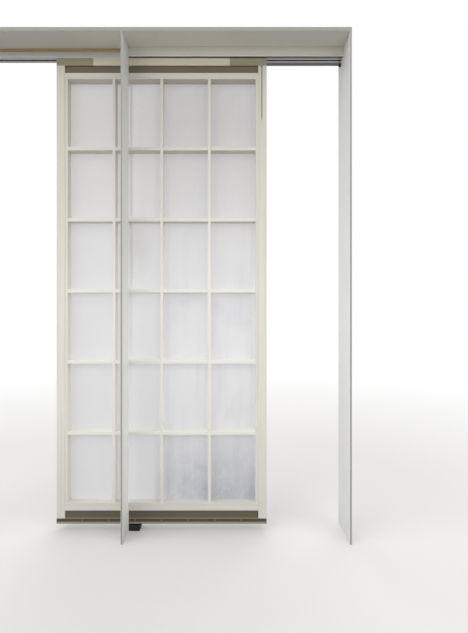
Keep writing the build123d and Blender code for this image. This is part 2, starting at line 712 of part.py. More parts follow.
def trolley(x):
    """The trolley's block: bores for two axles and one upright bolt, rounded in plan."""
    plan = Pos(x, TRACK_LINE) * RectangleRounded(TROLLEY_LENGTH, TROLLEY_WIDTH, TROLLEY_CORNER)
    block = Pos(0, 0, TROLLEY_Z[0]) * extrude(plan, TROLLEY_HEIGHT)
    bolt_bore = round_bar(BOLT_DIAMETER / 2 + SCREW_CLEARANCE, 2 * TROLLEY_HEIGHT)
    block -= Pos(x, TRACK_LINE, TROLLEY_Z[0] - TROLLEY_HEIGHT / 2) * bolt_bore
    for at in (x - AXLE_SPACING / 2, x + AXLE_SPACING / 2):
        bore = round_bar(AXLE_DIAMETER / 2 + AXLE_RUNNING, 2 * TROLLEY_WIDTH)
        block -= Pos(at, TRACK_LINE - TROLLEY_WIDTH, AXLE_HEIGHT) * Rot(-90, 0, 0) * bore
    return block


def hanger_bolt(x):
    """A hexagon-headed bolt from the trolley's top down through plate and nut."""
    tail = HANGER_PLATE_Z[0] - NUT_HEIGHT - BOLT_TAIL
    shank = Pos(x, TRACK_LINE, tail) * round_bar(BOLT_DIAMETER / 2, TROLLEY_Z[1] - tail)
    head = extrude(RegularPolygon(BOLT_HEAD / 2, 6, major_radius=False), BOLT_HEAD_HEIGHT)
    return shank + Pos(x, TRACK_LINE, TROLLEY_Z[1]) * head


def lock_nut(x):
    ring = RegularPolygon(BOLT_HEAD / 2, 6, major_radius=False)
    ring -= Circle(BOLT_DIAMETER / 2 + SCREW_CLEARANCE)
    return Pos(x, TRACK_LINE, HANGER_PLATE_Z[0] - NUT_HEIGHT) * extrude(ring, NUT_HEIGHT)


def hanger_plate(x):
    outline = RectangleRounded(PLATE_LENGTH, PLATE_WIDTH, PLATE_CORNER)
    outline -= Circle(BOLT_DIAMETER / 2 + SCREW_CLEARANCE)
    plate = Pos(x, TRACK_LINE, HANGER_PLATE_Z[0]) * extrude(outline, PLATE_THICKNESS)
    for place in plate_screw_places(x):
        plate -= place * countersunk_screw(PLATE_SCREW, SCREW_CLEARANCE)
    return plate


def wheel_pair(x):
    """Two wheels of one axle, with a recessed web, a round tyre edge and a hub."""
    radius, bore = WHEEL_DIAMETER / 2, AXLE_DIAMETER / 2
    rim = radius - WHEEL_RIM
    profile = Polyline(
        (bore, 0),
        (WHEEL_HUB / 2, 0),
        (WHEEL_HUB / 2, WHEEL_RECESS),
        (rim, WHEEL_RECESS),
        (rim, 0),
        (radius - WHEEL_EASE, 0),
        (radius, WHEEL_EASE),
        (radius, WHEEL_WIDTH - WHEEL_EASE),
        (radius - WHEEL_EASE, WHEEL_WIDTH),
        (rim, WHEEL_WIDTH),
        (rim, WHEEL_WIDTH - WHEEL_RECESS),
        (WHEEL_HUB / 2, WHEEL_WIDTH - WHEEL_RECESS),
        (WHEEL_HUB / 2, WHEEL_WIDTH),
        (bore, WHEEL_WIDTH),
        close=True,
    )
    wheel = revolve(Plane.XZ * make_face(profile), Axis.Z)
    reach = TROLLEY_WIDTH / 2 + WHEEL_SIDE_GAP
    near = Pos(x, TRACK_LINE - reach, AXLE_HEIGHT) * Rot(90, 0, 0) * wheel
    far = Pos(x, TRACK_LINE + reach, AXLE_HEIGHT) * Rot(-90, 0, 0) * wheel
    return near + far


def axle(x):
    half = TROLLEY_WIDTH / 2 + WHEEL_SIDE_GAP + WHEEL_WIDTH
    pin = round_bar(AXLE_DIAMETER / 2, 2 * half)
    return Pos(x, TRACK_LINE - half, AXLE_HEIGHT) * Rot(-90, 0, 0) * pin


def frame_pieces():
    screw_row = [place * countersunk_screw(HEADER_SCREW) for place in header_screw_places()]
    track_row = [place * pan_screw(TRACK_SCREW) for place in track_screw_places()]
    return {
        "header_plate": header_plate(),
        "right_jamb": right_jamb(),
        "left_jamb": standing_plate(LEFT_JAMB_X, LEFT_LIP_Y),
        "left_rear_strip": standing_plate(LEFT_JAMB_X, REAR_STRIP_Y),
        "pocket_end_post": pocket_end_post(),
        "front_pelmet": front_pelmet(),
        "rear_pelmet": rear_pelmet(),
        "track_packer": track_packer(),
        "track_web": track_web(),
        "track_front_wall": track_wall(TRACK_Y[0]),
        "track_rear_wall": track_wall(TRACK_Y[1]),
        "track_front_lip": track_lip(FRONT_LIP_Y),
        "track_rear_lip": track_lip(REAR_LIP_Y),
        "floor_guide": floor_guide(),
        "jamb_buffer": jamb_buffer(),
        "buffer_screw": buffer_place() * buffer_screw(),
        "header_screws": Compound(screw_row),
        "track_screws": Compound(track_row),
        "track_stops": Compound([track_stop(x) for x in stop_places()]),
        "stop_screws": Compound([stop_screw(x) for x in stop_places()]),
    }


def leaf_pieces():
    pieces = {
        "left_stile": left_stile(),
        "right_stile": right_stile(),
        "hanging_rail": hanging_rail(),
        "cap_strip": cap_strip(),
        "upper_dark_rail": rail(DARK_Y, UPPER_DARK_Z),
        "top_rail": field_rail(TOP_RAIL_Z),
        "bottom_rail": field_rail(BOTTOM_RAIL_Z),
        "lower_dark_rail": rail(DARK_Y, LOWER_DARK_Z),
        "base_rail": base_bar(LEAF_Y, BASE_RAIL_Z),
        "front_wear_strip": base_bar((LEAF_Y[0], TRACK_LINE), WEAR_STRIP_Z, LEAF_EASE),
        "rear_wear_strip": base_bar((TRACK_LINE, LEAF_Y[1]), WEAR_STRIP_Z),
        "left_border": border((INNER_X[0], FIELD_X[0])),
        "right_border": border((FIELD_X[1], INNER_X[1])),
        "translucent_sheet": translucent_sheet(),
        "side_beads": Compound([bead("left"), bead("right")]),
        "level_beads": Compound([bead("top"), bead("bottom")]),
        "base_rail_screws": Compound([p * countersunk_screw(BASE_SCREW) for p in base_screw_places()]),
        "bead_pins": Compound([p * bead_pin() for p in bead_pin_places()]),
    }
    for k, x in enumerate(vertical_centres(), 1):
        pieces[f"vertical_muntin_{k}"] = vertical_muntin(x)
    for k, z in enumerate(horizontal_centres(), 1):
        pieces[f"horizontal_muntin_{k}"] = horizontal_muntin(z)
    return pieces


def trolley_pieces():
    """Both trolleys; of a trolley's two axles the outer one is nearer the leaf's edge."""
    places = list(TROLLEY_PLACES.values())
    screws = [place for x in places for place in plate_screw_places(x)]
    pieces = {
        "hanger_bolts": Compound([hanger_bolt(x) for x in places]),
        "lock_nuts": Compound([lock_nut(x) for x in places]),
        "hanger_plates": Compound([hanger_plate(x) for x in places]),
        "hanger_plate_screws": Compound([place * countersunk_screw(PLATE_SCREW) for place in screws]),
    }
    for side, x in TROLLEY_PLACES.items():
        outwards = -1 if side == "left" else 1
        pieces[side + "_trolley"] = trolley(x)
        for place, step in (("outer", outwards), ("inner", -outwards)):
            at = x + step * AXLE_SPACING / 2
            pieces[f"{side}_{place}_wheels"] = wheel_pair(at)
            pieces[f"{side}_{place}_axle"] = axle(at)
    return pieces


def main():
    os.makedirs("parts", exist_ok=True)
    pieces = {**frame_pieces(), **leaf_pieces(), **trolley_pieces()}
    for name, shape in pieces.items():
        export_step(shape, f"parts/{name}.step")


main()
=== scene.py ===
"""Finishes, small fixings and stage for a shoji leaf that slides in its portal frame."""

import json
import math

import bmesh
import bpy
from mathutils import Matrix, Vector


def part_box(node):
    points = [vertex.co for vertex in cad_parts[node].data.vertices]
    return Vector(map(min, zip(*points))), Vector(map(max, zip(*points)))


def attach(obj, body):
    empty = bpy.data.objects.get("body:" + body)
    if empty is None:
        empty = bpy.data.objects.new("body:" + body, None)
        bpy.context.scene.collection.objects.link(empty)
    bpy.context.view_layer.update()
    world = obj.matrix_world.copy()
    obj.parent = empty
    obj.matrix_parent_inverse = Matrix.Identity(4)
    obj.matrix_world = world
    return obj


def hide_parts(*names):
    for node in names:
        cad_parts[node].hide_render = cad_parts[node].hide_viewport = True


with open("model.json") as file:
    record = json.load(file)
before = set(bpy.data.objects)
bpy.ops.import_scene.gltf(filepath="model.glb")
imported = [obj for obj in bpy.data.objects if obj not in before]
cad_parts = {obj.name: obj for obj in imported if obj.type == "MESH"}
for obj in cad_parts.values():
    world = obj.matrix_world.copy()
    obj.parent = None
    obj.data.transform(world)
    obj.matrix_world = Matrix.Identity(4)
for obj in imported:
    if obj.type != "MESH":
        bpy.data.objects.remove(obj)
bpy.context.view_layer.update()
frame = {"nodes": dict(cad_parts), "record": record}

bl_info = {
    "name": "Shoji Portal Dressing",
    "version": (1, 0, 0),
    "blender": (4, 5, 0),
    "location": "View3D > Sidebar > Shoji",
    "description": "Finishes a hung shoji leaf and its portal frame and sets the stage",
    "category": "Object",
}

NODES = frame["nodes"]
SLOT_OF_NODE = {row["node"]: row["material_slot"] for row in frame["record"]["subparts"]}
BODY_OF_NODE = {
    node: body
    for body, members in frame["record"]["behaviour"]["bodies"].items()
    for node in members
}
ALONG_X = (1, 0, 0)
ALONG_Y = (0, 1, 0)
ALONG_Z = (0, 0, 1)
WHITE = (1.0, 1.0, 1.0, 1.0)
FULL_FRAME = 36.0

# Heights in metres over which a finish turns into another, or over which painted shade comes in
# Painted shade: the plates' lacquer darkens between these heights
PLATE_PAINTED_SHADE = (1.2, 2.6)
PLATE_DUST = (0.16, 0.0)
# Painted shade: the woods darken towards the top over the first heights and towards the foot over the
# second
WOOD_TOP_SHADE = (1.4, 2.68)
WOOD_FOOT_SHADE = (0.7, 0.15)
SHEET_SHADE = (0.9, 2.4)
# Painted shade: the sheet turns denser and cooler towards its foot between these heights
SHEET_FOOT_SHADE = (0.62, 0.14)
# Width in metres over which painted light on the sheet's left side fades out, and the distance at
# which corners are one
LIT_SIDE_WIDTH = 0.07
SAME_CORNER = 1e-6
# Middle and half sizes in metres of the darker blotch on the sheet
BLOTCH_PLACE = (0.03, 0.0, 1.66)
BLOTCH_SIZE = (0.12, 1.0, 0.22)
# Range of a normal's component over which a face counts as turned that way
TURNED_TO = (0.55, 0.85)
LEVEL_ENOUGH = (0.6, 0.9)

# How strongly painted shade darkens the woods high up and near the foot, and how strong the grain of
# the leaf is
FRAME_PAINTED_SHADE = 0.58
LATTICE_PAINTED_SHADE = 0.72
LEAF_CONTRAST = 0.75

# Shares of a head's or shank's radius
TIP_LENGTH = 3.0
TIP_LOSS = 0.9
ROUND_TIP_LOSS = 0.4
ROUND_CROWN = 0.7
PIN_HEAD = 0.44
PIN_TIP = 0.4
# Radius of an M8 bolt as a share of its 13 mm across flats
BOLT_SHANK = 4 / 13
# Share of a head's height over which the shank reaches into it
SCREW_ROOT = 0.4
BOLT_ROOT = 0.3

# Sides of the round forms, and rows of a thread for each turn
SCREW_HEAD_SIDES = 28
SCREW_SHANK_SIDES = 14
PIN_HEAD_SIDES = 20
PIN_SHANK_SIDES = 12
BOLT_SHANK_SIDES = 24
TURNED_SIDES = 48
BORE_SIDES = 32
FLOOR_SIDES = 96
THREAD_ROWS = 4.0


def linear(red, green, blue):
    """An sRGB colour of 0 to 255 as the linear values that a shader takes."""
    def channel(value):
        value /= 255
        return value / 12.92 if value <= 0.04045 else ((value + 0.055) / 1.055) ** 2.4
    return (channel(red), channel(green), channel(blue))


def colour(label, note, red, green, blue):
    """A colour property."""
    return bpy.props.FloatVectorProperty(
        name=label, description=note, subtype="COLOR", size=3, min=0.0, max=1.0,
        default=linear(red, green, blue),
    )


def distance(label, note, metres):
    """A length property."""
    return bpy.props.FloatProperty(
        name=label, description=note, default=metres, min=0.0, unit="LENGTH", precision=5,
    )


def amount(label, note, value, most):
    """A plain number property."""
    return bpy.props.FloatProperty(name=label, description=note, default=value, min=0.0, max=most)


def place(label, note, point):
    """A property that holds a point."""
    return bpy.props.FloatVectorProperty(
        name=label, description=note, subtype="TRANSLATION", unit="LENGTH", size=3, default=point,
    )


def heading(label, note, direction):
    """A property that holds a direction."""
    return bpy.props.FloatVectorProperty(
        name=label, description=note, subtype="DIRECTION", size=3, default=direction,
    )


class ShojiColours(bpy.types.PropertyGroup):
    """Colours of every finish."""

    paint: colour("Paint", "Satin lacquer on the plates of the portal", 240, 240, 238)
    # Painted shade: a warmer tone for faces that look down
    underside: colour("Underside", "The underside of the plate overhead", 240, 237, 226)
    plate_edge: colour("Plate edge", "The thin edges of the plates", 160, 158, 151)
    # Painted shade: the lacquer of the board in front of the track is darker than the plates',
    # standing in for the shade under the plate overhead
    front_pelmet_shade: colour("Pelmet", "Lacquer of the board in front of the track", 208, 205, 195)
    # Painted shade: the grey of the board behind the track stands in for the shade there
    rear_pelmet: colour("Rear pelmet", "Lacquer of the board behind the track", 150, 151, 147)
    pale_wood: colour("Pale wood", "Stiles, rails, lattice and beads", 236, 233, 225)
    pale_grain: colour("Pale grain", "Grain lines of the pale wood", 216, 210, 196)
    # Painted light: the muntins take a lighter copy of the pale wood, standing in for light that comes
    # through the sheet
    lattice_lit_wood: colour("Lattice wood", "The muntins of the lattice", 246, 244, 238)
    lattice_lit_grain: colour("Lattice grain", "Grain lines of the muntins", 228, 223, 210)
    cap_wood: colour("Cap wood", "The strip let into the hanging rail", 206, 200, 182)
    cap_grain: colour("Cap grain", "Grain lines of that strip", 184, 176, 152)
    wear_wood: colour("Wear wood", "The strips under the leaf", 156, 150, 132)
    wear_grain: colour("Wear grain", "Grain lines of those strips", 142, 134, 112)
    olive_wood: colour("Olive wood", "The hanging rail", 154, 149, 125)
    olive_grain: colour("Olive grain", "Grain lines of the hanging rail", 120, 113, 86)
    base_wood: colour("Base wood", "The rail under the leaf", 86, 79, 67)
    base_grain: colour("Base grain", "Grain lines of that rail", 73, 66, 53)
    dark_wood: colour("Dark wood", "The dark rails", 106, 98, 82)
    dark_grain: colour("Dark grain", "Grain lines of the dark rails", 92, 84, 67)
    packer: colour("Packer", "The sawn batten over the track", 190, 165, 128)
    packer_grain: colour("Packer grain", "Grain lines of the batten", 158, 130, 92)
    sheet: colour("Sheet", "The translucent sheet", 209, 209, 210)
    # Painted shade: the darker tone of the sheet's upper part
    sheet_top_shade: colour("Sheet top", "The upper part of the sheet", 172, 170, 169)
    # This tone also paints the shade at the sheet's foot
    sheet_cloud_and_foot_shade: colour("Sheet cloud", "Denser and cooler clouds in the sheet", 174, 175, 181)
    # Painted light: a lighter tone on the level faces of the dark woods, standing in for light on
    # their tops
    dust_and_top_light: colour("Dust", "Dust and wear on the level faces of dark wood", 180, 172, 152)
    aluminium: colour("Aluminium", "Natural anodised walls of the track", 202, 202, 200)
    # Painted highlight: the lips are a lighter copy of the anodised aluminium, standing in for light
    # on them
    lips: colour("Lips", "The track's lips, polished by the wheels", 240, 240, 238)
    # Painted shade: the web's dark grey stands in for the shade inside the track
    inner_track_shade: colour("Inner track", "The dull web inside the track", 112, 112, 111)
    alloy: colour("Alloy", "Machined trolley blocks", 184, 184, 183)
    steel: colour("Steel", "Zinc plated fixings", 196, 195, 191)
    browned: colour("Browned steel", "The small screws along the base rail", 168, 160, 142)
    ground_steel: colour("Ground steel", "Axles", 205, 205, 204)
    nylon: colour("Nylon", "Trolley wheels", 222, 218, 204)
    black_plastic: colour("Black plastic", "Floor guide and track stops", 38, 38, 39)
    rubber: colour("Rubber", "The buffer on the jamb", 26, 26, 27)
    floor: colour("Floor", "The floor as the camera sees it", 233, 232, 230)
    floor_bounce: colour("Floor bounce", "The floor as the object sees it", 138, 138, 137)


class ShojiFixings(bpy.types.PropertyGroup):
    """Sizes of the small fixings that the frame doesn't give."""

    recess_width: distance("Recess width", "Width of one arm of a cross recess", 0.0012)
    recess_depth: distance("Recess depth", "Depth of a cross recess", 0.0016)
    screw_pitch: distance("Screw pitch", "Pitch of a wood screw's thread", 0.0022)
    screw_thread: distance("Screw thread", "Depth of a wood screw's thread", 0.0004)
    pan_height: distance("Pan height", "Height of a pan head", 0.0025)
    bolt_pitch: distance("Bolt pitch", "Pitch of the hanger bolts", 0.00125)
    bolt_thread: distance("Bolt thread", "Depth of the bolts' thread", 0.0006)
    face_inset: distance("Face inset", "How far a hexagon's round face lies inside its flats", 0.0003)
    strip_spacing: distance("Strip screw spacing", "Spacing of the screws along the base rail", 0.153)
    strip_head: distance("Strip screw head", "Diameter of those screws' heads", 0.0068)
    strip_stand: distance("Strip screw stand", "How far their heads stand proud", 0.0012)
    strip_reach: distance("Strip screw reach", "How deep those screws go", 0.012)
    nut_play: distance("Nut play", "Clearance of a nut's bore round its bolt", 0.00015)
    pin_chamfer: distance("Pin chamfer", "Chamfer round a bead pin's head", 0.0003)


class ShojiStage(bpy.types.PropertyGroup):
    """Camera, lamps and floor."""

    eye: place("Eye", "Place of the camera", (0.5837, -2.4125, 1.238))
    focal_pixels: amount("Focal length", "Focal length in pixels of the photograph", 422.0, 5000.0)
    long_side: amount("Long side", "Long side of the photograph in pixels", 633.0, 9000.0)
    offset: amount("Offset", "Pixels from the vanishing point to the photograph's centre", 4.1, 99.0)
    floor_radius: distance("Floor radius", "Radius of the floor", 14.0)
    fade_start: distance("Fade start", "Distance at which the floor starts to turn white", 2.2)
    fade_end: distance("Fade end", "Distance at which the floor is white", 6.5)
    world_light: amount("World light", "Strength of the light from all round", 0.7, 4.0)
    lamp_spread: amount("Lamp spread", "Angle that each soft sun fills, in radians", 1.2, 3.0)
    left_side: heading("Left side", "Where the sun at the left front stands", (-0.8, -0.6, 0.25))
    left_strength: amount("Left strength", "Strength of the sun at the left front", 1.62, 20.0)
    right_side: heading("Right side", "Where the sun at the right front stands", (0.7, -0.7, 0.25))
    right_strength: amount("Right strength", "Strength of the sun at the right front", 1.04, 20.0)
    back_side: heading("Back side", "Where the sun behind stands", (0.1, 1.0, 0.6))
    back_strength: amount("Back strength", "Strength of the sun behind", 0.8, 20.0)


def fill(socket, value):
    """Links an output to an input socket, or sets the input's value."""
    if isinstance(value, bpy.types.NodeSocket):
        socket.id_data.links.new(value, socket)
    else:
        socket.default_value = value


def put(tree, kind, inputs=None, **settings):
    """Adds a node with its properties and inputs."""
    node = tree.nodes.new(kind)
    for name, value in settings.items():
        setattr(node, name, value)
    for socket, value in (inputs or {}).items():
        fill(node.inputs[socket], value)
    return node


def sums(tree, operation, first, second=0.0):
    """The result of a Math node."""
    return put(tree, "ShaderNodeMath", {0: first, 1: second}, operation=operation).outputs[0]


def fresh_material(name):
    """A material with a Principled shader; gives the material, its tree and the shader."""
    material = bpy.data.materials.new(name)
    material.use_nodes = True
    tree = material.node_tree
    tree.nodes.clear()
    shader = put(tree, "ShaderNodeBsdfPrincipled")
    put(tree, "ShaderNodeOutputMaterial", {"Surface": shader.outputs["BSDF"]})
    return material, tree, shader


def coordinate(tree, output, axis):
    """One component of the object coordinates or of the normal."""
    source = put(tree, "ShaderNodeTexCoord").outputs[output]
    return put(tree, "ShaderNodeSeparateXYZ", {"Vector": source}).outputs[axis]


def noise(tree, scale, detail=2.0, roughness=0.5, distortion=0.0):
    """Noise over object coordinates that are scaled by axis, from 0 to 1."""
    source = put(tree, "ShaderNodeTexCoord").outputs["Object"]
    scaled = put(tree, "ShaderNodeMapping", {"Vector": source, "Scale": scale})
    inputs = {
        "Vector": scaled.outputs["Vector"], "Scale": 1.0, "Detail": detail,
        "Roughness": roughness, "Distortion": distortion,
    }
    return put(tree, "ShaderNodeTexNoise", inputs).outputs["Fac"]


def ranged(tree, value, low=0.0, high=1.0, to_low=0.0, to_high=1.0):
    """A value mapped from one range to another and held within it."""
    inputs = {
        "Value": value, "From Min": low, "From Max": high, "To Min": to_low, "To Max": to_high,
    }
    return put(tree, "ShaderNodeMapRange", inputs, clamp=True).outputs["Result"]


def blended(tree, factor, first, second):
    """One colour turning into another by a factor."""
    ends = [end if isinstance(end, bpy.types.NodeSocket) else (*end, 1.0) for end in (first, second)]
    node = put(tree, "ShaderNodeMix", data_type="RGBA", clamp_factor=True)
    for socket, value in (("Factor_Float", factor), ("A_Color", ends[0]), ("B_Color", ends[1])):
        fill(next(s for s in node.inputs if s.identifier == socket), value)
    return next(s for s in node.outputs if s.identifier == "Result_Color")


def raised(tree, shader, height, strength, depth):
    """Gives a shader a bump made from a height."""
    inputs = {"Height": height, "Strength": strength, "Distance": depth}
    fill(shader.inputs["Normal"], put(tree, "ShaderNodeBump", inputs).outputs["Normal"])


def shaded(tone, factor):
    """A colour made darker or lighter."""
    return tuple(min(1.0, part * factor) for part in tone)


def along(axis, lengthwise, crosswise):
    """A scale that stretches a pattern along an axis."""
    return tuple(lengthwise if part else crosswise for part in axis)


def wood(name, plain, grain, axis, contrast=1.0, roughness=0.55, dust_and_top_light=None, painted_shade_amount=0.0):
    """Planed wood: streaks, lines and pores along the grain, painted shade towards the top and the
    foot, painted light on level faces.
    """
    material, tree, shader = fresh_material(name)
    streaks = noise(tree, along(axis, 0.9, 46.0), detail=3.0, roughness=0.55, distortion=0.4)
    rings = noise(tree, along(axis, 1.6, 210.0), roughness=0.6, distortion=0.8)
    pores = noise(tree, along(axis, 26.0, 1500.0), detail=3.0, roughness=0.6)
    drift = noise(tree, along(axis, 1.1, 4.0), detail=1.0)
    broad = ranged(tree, streaks, low=0.3, high=0.8, to_high=0.5 * contrast)
    lines = ranged(tree, rings, low=0.42, high=0.72, to_high=0.55 * contrast)
    patches = ranged(tree, drift, low=0.35, high=0.75, to_high=0.22 * contrast)
    specks = ranged(tree, pores, low=0.62, high=0.8, to_high=0.35 * contrast)
    body = blended(tree, sums(tree, "ADD", broad, lines), plain, grain)
    body = blended(tree, patches, body, grain)
    body = blended(tree, specks, body, shaded(grain, factor=0.8))
    # Painted shade: darker towards the top and the foot, except on faces that look down
    if painted_shade_amount:
        height = coordinate(tree, "Object", "Z")
        downwards = sums(tree, "MULTIPLY", coordinate(tree, "Normal", "Z"), -1.0)
        not_turned_down = ranged(tree, downwards, *TURNED_TO, to_low=1.0, to_high=0.0)
        top = sums(tree, "MULTIPLY", ranged(tree, height, *WOOD_TOP_SHADE, to_high=painted_shade_amount), not_turned_down)
        body = blended(tree, top, body, shaded(grain, factor=0.55))
        foot = sums(tree, "MULTIPLY", ranged(tree, height, *WOOD_FOOT_SHADE, to_high=0.5 * painted_shade_amount), not_turned_down)
        body = blended(tree, foot, body, shaded(plain, factor=0.57))
    # Painted light: level faces turn lighter
    if dust_and_top_light:
        level = ranged(tree, coordinate(tree, "Normal", "Z"), *LEVEL_ENOUGH)
        body = blended(tree, level, body, dust_and_top_light)
    fill(shader.inputs["Base Color"], body)
    duller, shinier = roughness + 0.08, roughness - 0.06
    sheen = ranged(tree, rings, low=0.3, high=0.7, to_low=shinier, to_high=duller)
    fill(shader.inputs["Roughness"], sheen)
    fill(shader.inputs["Specular IOR Level"], 0.35)
    relief = sums(tree, "SUBTRACT", sums(tree, "MULTIPLY", rings, 0.6), pores)
    raised(tree, shader, relief, strength=0.35, depth=0.0003)
    return material


def lacquer(name, plain, edge, under):
    """Sprayed satin lacquer: mottled, painted shade high up, dusty low down, other edges, and a
    painted shade tone on the underside.
    """
    material, tree, shader = fresh_material(name)
    mottle = noise(tree, (2.2, 2.2, 1.3), detail=3.0, roughness=0.6)
    blotch = noise(tree, (9.0, 9.0, 5.0), detail=4.0, roughness=0.6)
    orange_peel = noise(tree, (420.0, 420.0, 420.0))
    height = coordinate(tree, "Object", "Z")
    marks = ranged(tree, mottle, low=0.35, high=0.7, to_high=0.6)
    body = blended(tree, marks, plain, shaded(plain, factor=0.94))
    # Painted shade: the lacquer turns darker high up, standing in for shade under the plate overhead
    high = ranged(tree, height, *PLATE_PAINTED_SHADE, to_high=0.96)
    body = blended(tree, high, body, shaded(plain, factor=0.7))
    low = ranged(tree, height, *PLATE_DUST, to_high=0.7)
    dust_and_top_light = sums(tree, "MULTIPLY", low, ranged(tree, blotch, low=0.35, high=0.7))
    body = blended(tree, dust_and_top_light, body, shaded(plain, factor=0.86))
    facing = sums(tree, "ABSOLUTE", coordinate(tree, "Normal", "Y"))
    body = blended(tree, ranged(tree, facing, *TURNED_TO), body, edge)
    # Painted shade: faces that look down take the underside tone
    downwards = sums(tree, "MULTIPLY", coordinate(tree, "Normal", "Z"), -1.0)
    body = blended(tree, ranged(tree, downwards, *TURNED_TO), body, under)
    fill(shader.inputs["Base Color"], body)
    sheen = ranged(tree, blotch, low=0.3, high=0.7, to_low=0.58, to_high=0.68)
    fill(shader.inputs["Roughness"], sheen)
    fill(shader.inputs["Specular IOR Level"], 0.3)
    raised(tree, shader, orange_peel, strength=0.18, depth=0.0002)
    return material


def frosted_sheet(name, plain, cloud, upper, lit_side_edge):
    """A milky sheet that lets light through: clouds, fibres, a darker blotch, painted shade high up, a
    cooler painted shade at the foot, painted light on one side and a painted glow.
    """
    material, tree, shader = fresh_material(name)
    clouds = noise(tree, (3.2, 3.2, 2.1), detail=4.0, roughness=0.62, distortion=0.5)
    drips = noise(tree, (26.0, 26.0, 1.4), detail=3.0, roughness=0.6, distortion=0.3)
    fibres = noise(tree, (240.0, 240.0, 34.0), detail=3.0, roughness=0.65, distortion=0.4)
    height = coordinate(tree, "Object", "Z")
    # Painted light: left of the lit side's edge the sheet loses its clouds and some of its top shade
    off_lit_side = ranged(tree, coordinate(tree, "Object", "X"), lit_side_edge - LIT_SIDE_WIDTH, lit_side_edge)
    splotches = noise(tree, (15.0, 15.0, 12.0), detail=5.0, roughness=0.68, distortion=0.6)
    splotched = ranged(tree, splotches, low=0.3, high=0.7, to_low=0.55, to_high=1.35)
    patchy = sums(tree, "MULTIPLY", ranged(tree, clouds, low=0.25, high=0.6, to_low=0.35), splotched)
    # Painted shade: denser, cooler clouds towards the foot
    foot = sums(tree, "MULTIPLY", ranged(tree, height, *SHEET_FOOT_SHADE), patchy)
    dense = sums(tree, "MAXIMUM", foot, ranged(tree, clouds, low=0.5, high=0.78, to_high=0.45))
    dense = sums(tree, "ADD", dense, ranged(tree, drips, low=0.5, high=0.8, to_high=0.28))
    dense = sums(tree, "MULTIPLY", dense, ranged(tree, off_lit_side, to_low=0.05))
    shade = ranged(tree, height, *SHEET_SHADE)
    shade = sums(tree, "MULTIPLY", shade, ranged(tree, off_lit_side, to_low=0.8))
    body = blended(tree, dense, blended(tree, shade, plain, upper), cloud)
    # A darker blotch, in the tone of the sheet's upper part
    here = put(tree, "ShaderNodeTexCoord").outputs["Object"]
    apart = put(tree, "ShaderNodeVectorMath", {0: here, 1: BLOTCH_PLACE}, operation="SUBTRACT")
    sized = {0: apart.outputs["Vector"], 1: BLOTCH_SIZE}
    share = put(tree, "ShaderNodeVectorMath", sized, operation="DIVIDE").outputs["Vector"]
    away = put(tree, "ShaderNodeVectorMath", {0: share}, operation="LENGTH").outputs["Value"]
    near = ranged(tree, away, low=1.0, high=0.0, to_high=0.65)
    blotch = sums(tree, "MULTIPLY", near, ranged(tree, splotches, low=0.3, high=0.6, to_low=0.4))
    body = blended(tree, blotch, body, upper)
    threads = ranged(tree, fibres, low=0.6, high=0.75, to_high=0.4)
    body = blended(tree, threads, body, shaded(plain, factor=1.06))
    fill(shader.inputs["Base Color"], body)
    # Painted glow: the sheet gives off light in its own colour, standing in for light that comes
    # through it
    fill(shader.inputs["Emission Color"], body)
    for socket, value in (
        ("Roughness", 0.75), ("IOR", 1.2), ("Transmission Weight", 0.5), ("Specular IOR Level", 0.2),
        ("Emission Strength", 0.3),
    ):
        fill(shader.inputs[socket], value)
    raised(tree, shader, fibres, strength=0.2, depth=0.0002)
    return material


def drawn_metal(name, plain, axis, roughness):
    """Metal with fine draw or grinding lines along an axis."""
    material, tree, shader = fresh_material(name)
    lines = noise(tree, along(axis, 3.0, 1800.0), detail=3.0, roughness=0.6)
    cast = noise(tree, (12.0, 12.0, 12.0), detail=3.0, roughness=0.6)
    dull = shaded(plain, factor=0.82)
    body = blended(tree, ranged(tree, lines, low=0.3, high=0.75, to_high=0.6), plain, dull)
    body = blended(tree, ranged(tree, cast, low=0.4, high=0.75, to_high=0.4), body, dull)
    fill(shader.inputs["Base Color"], body)
    fill(shader.inputs["Metallic"], 1.0)
    duller, shinier = roughness + 0.1, roughness - 0.05
    sheen = ranged(tree, lines, low=0.3, high=0.7, to_low=shinier, to_high=duller)
    fill(shader.inputs["Roughness"], sheen)
    raised(tree, shader, lines, strength=0.25, depth=0.0001)
    return material


def moulded(name, plain, roughness):
    """Moulded plastic or rubber: fine texture and faint handling marks."""
    material, tree, shader = fresh_material(name)
    marks = noise(tree, (40.0, 40.0, 40.0), detail=3.0, roughness=0.6)
    texture = noise(tree, (900.0, 900.0, 900.0))
    handled = ranged(tree, marks, low=0.45, high=0.8, to_high=0.7)
    fill(shader.inputs["Base Color"], blended(tree, handled, plain, shaded(plain, factor=1.3)))
    duller, shinier = roughness + 0.08, roughness - 0.06
    sheen = ranged(tree, marks, low=0.3, high=0.7, to_low=shinier, to_high=duller)
    fill(shader.inputs["Roughness"], sheen)
    raised(tree, shader, texture, strength=0.25, depth=0.0002)
    return material


def dress(material, nodes):
    """Gives CAD nodes a material."""
    for node in nodes:
        slots = NODES[node].data.materials
        slots.clear()
        slots.append(material)


def nodes_of_slot(slot):
    """The CAD nodes that share one of the record's finishes."""
    found = [node for node, name in SLOT_OF_NODE.items() if name == slot]
    if not found:
        raise RuntimeError(f"no piece has the finish {slot}")
    return found


def stands_up(node):
    """Whether a piece's grain runs upright."""
    low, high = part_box(node)
    return high.z - low.z > high.x - low.x


def dress_wood(name, nodes, plain, grain, **finish):
    """Gives the pieces of one wood two materials, for upright and for level grain."""
    for axis, upright, suffix in ((ALONG_Z, True, "upright"), (ALONG_X, False, "level")):
        pieces = [node for node in nodes if stands_up(node) == upright]
        if pieces:
            dress(wood(f"{name}_{suffix}", plain, grain, axis, **finish), pieces)


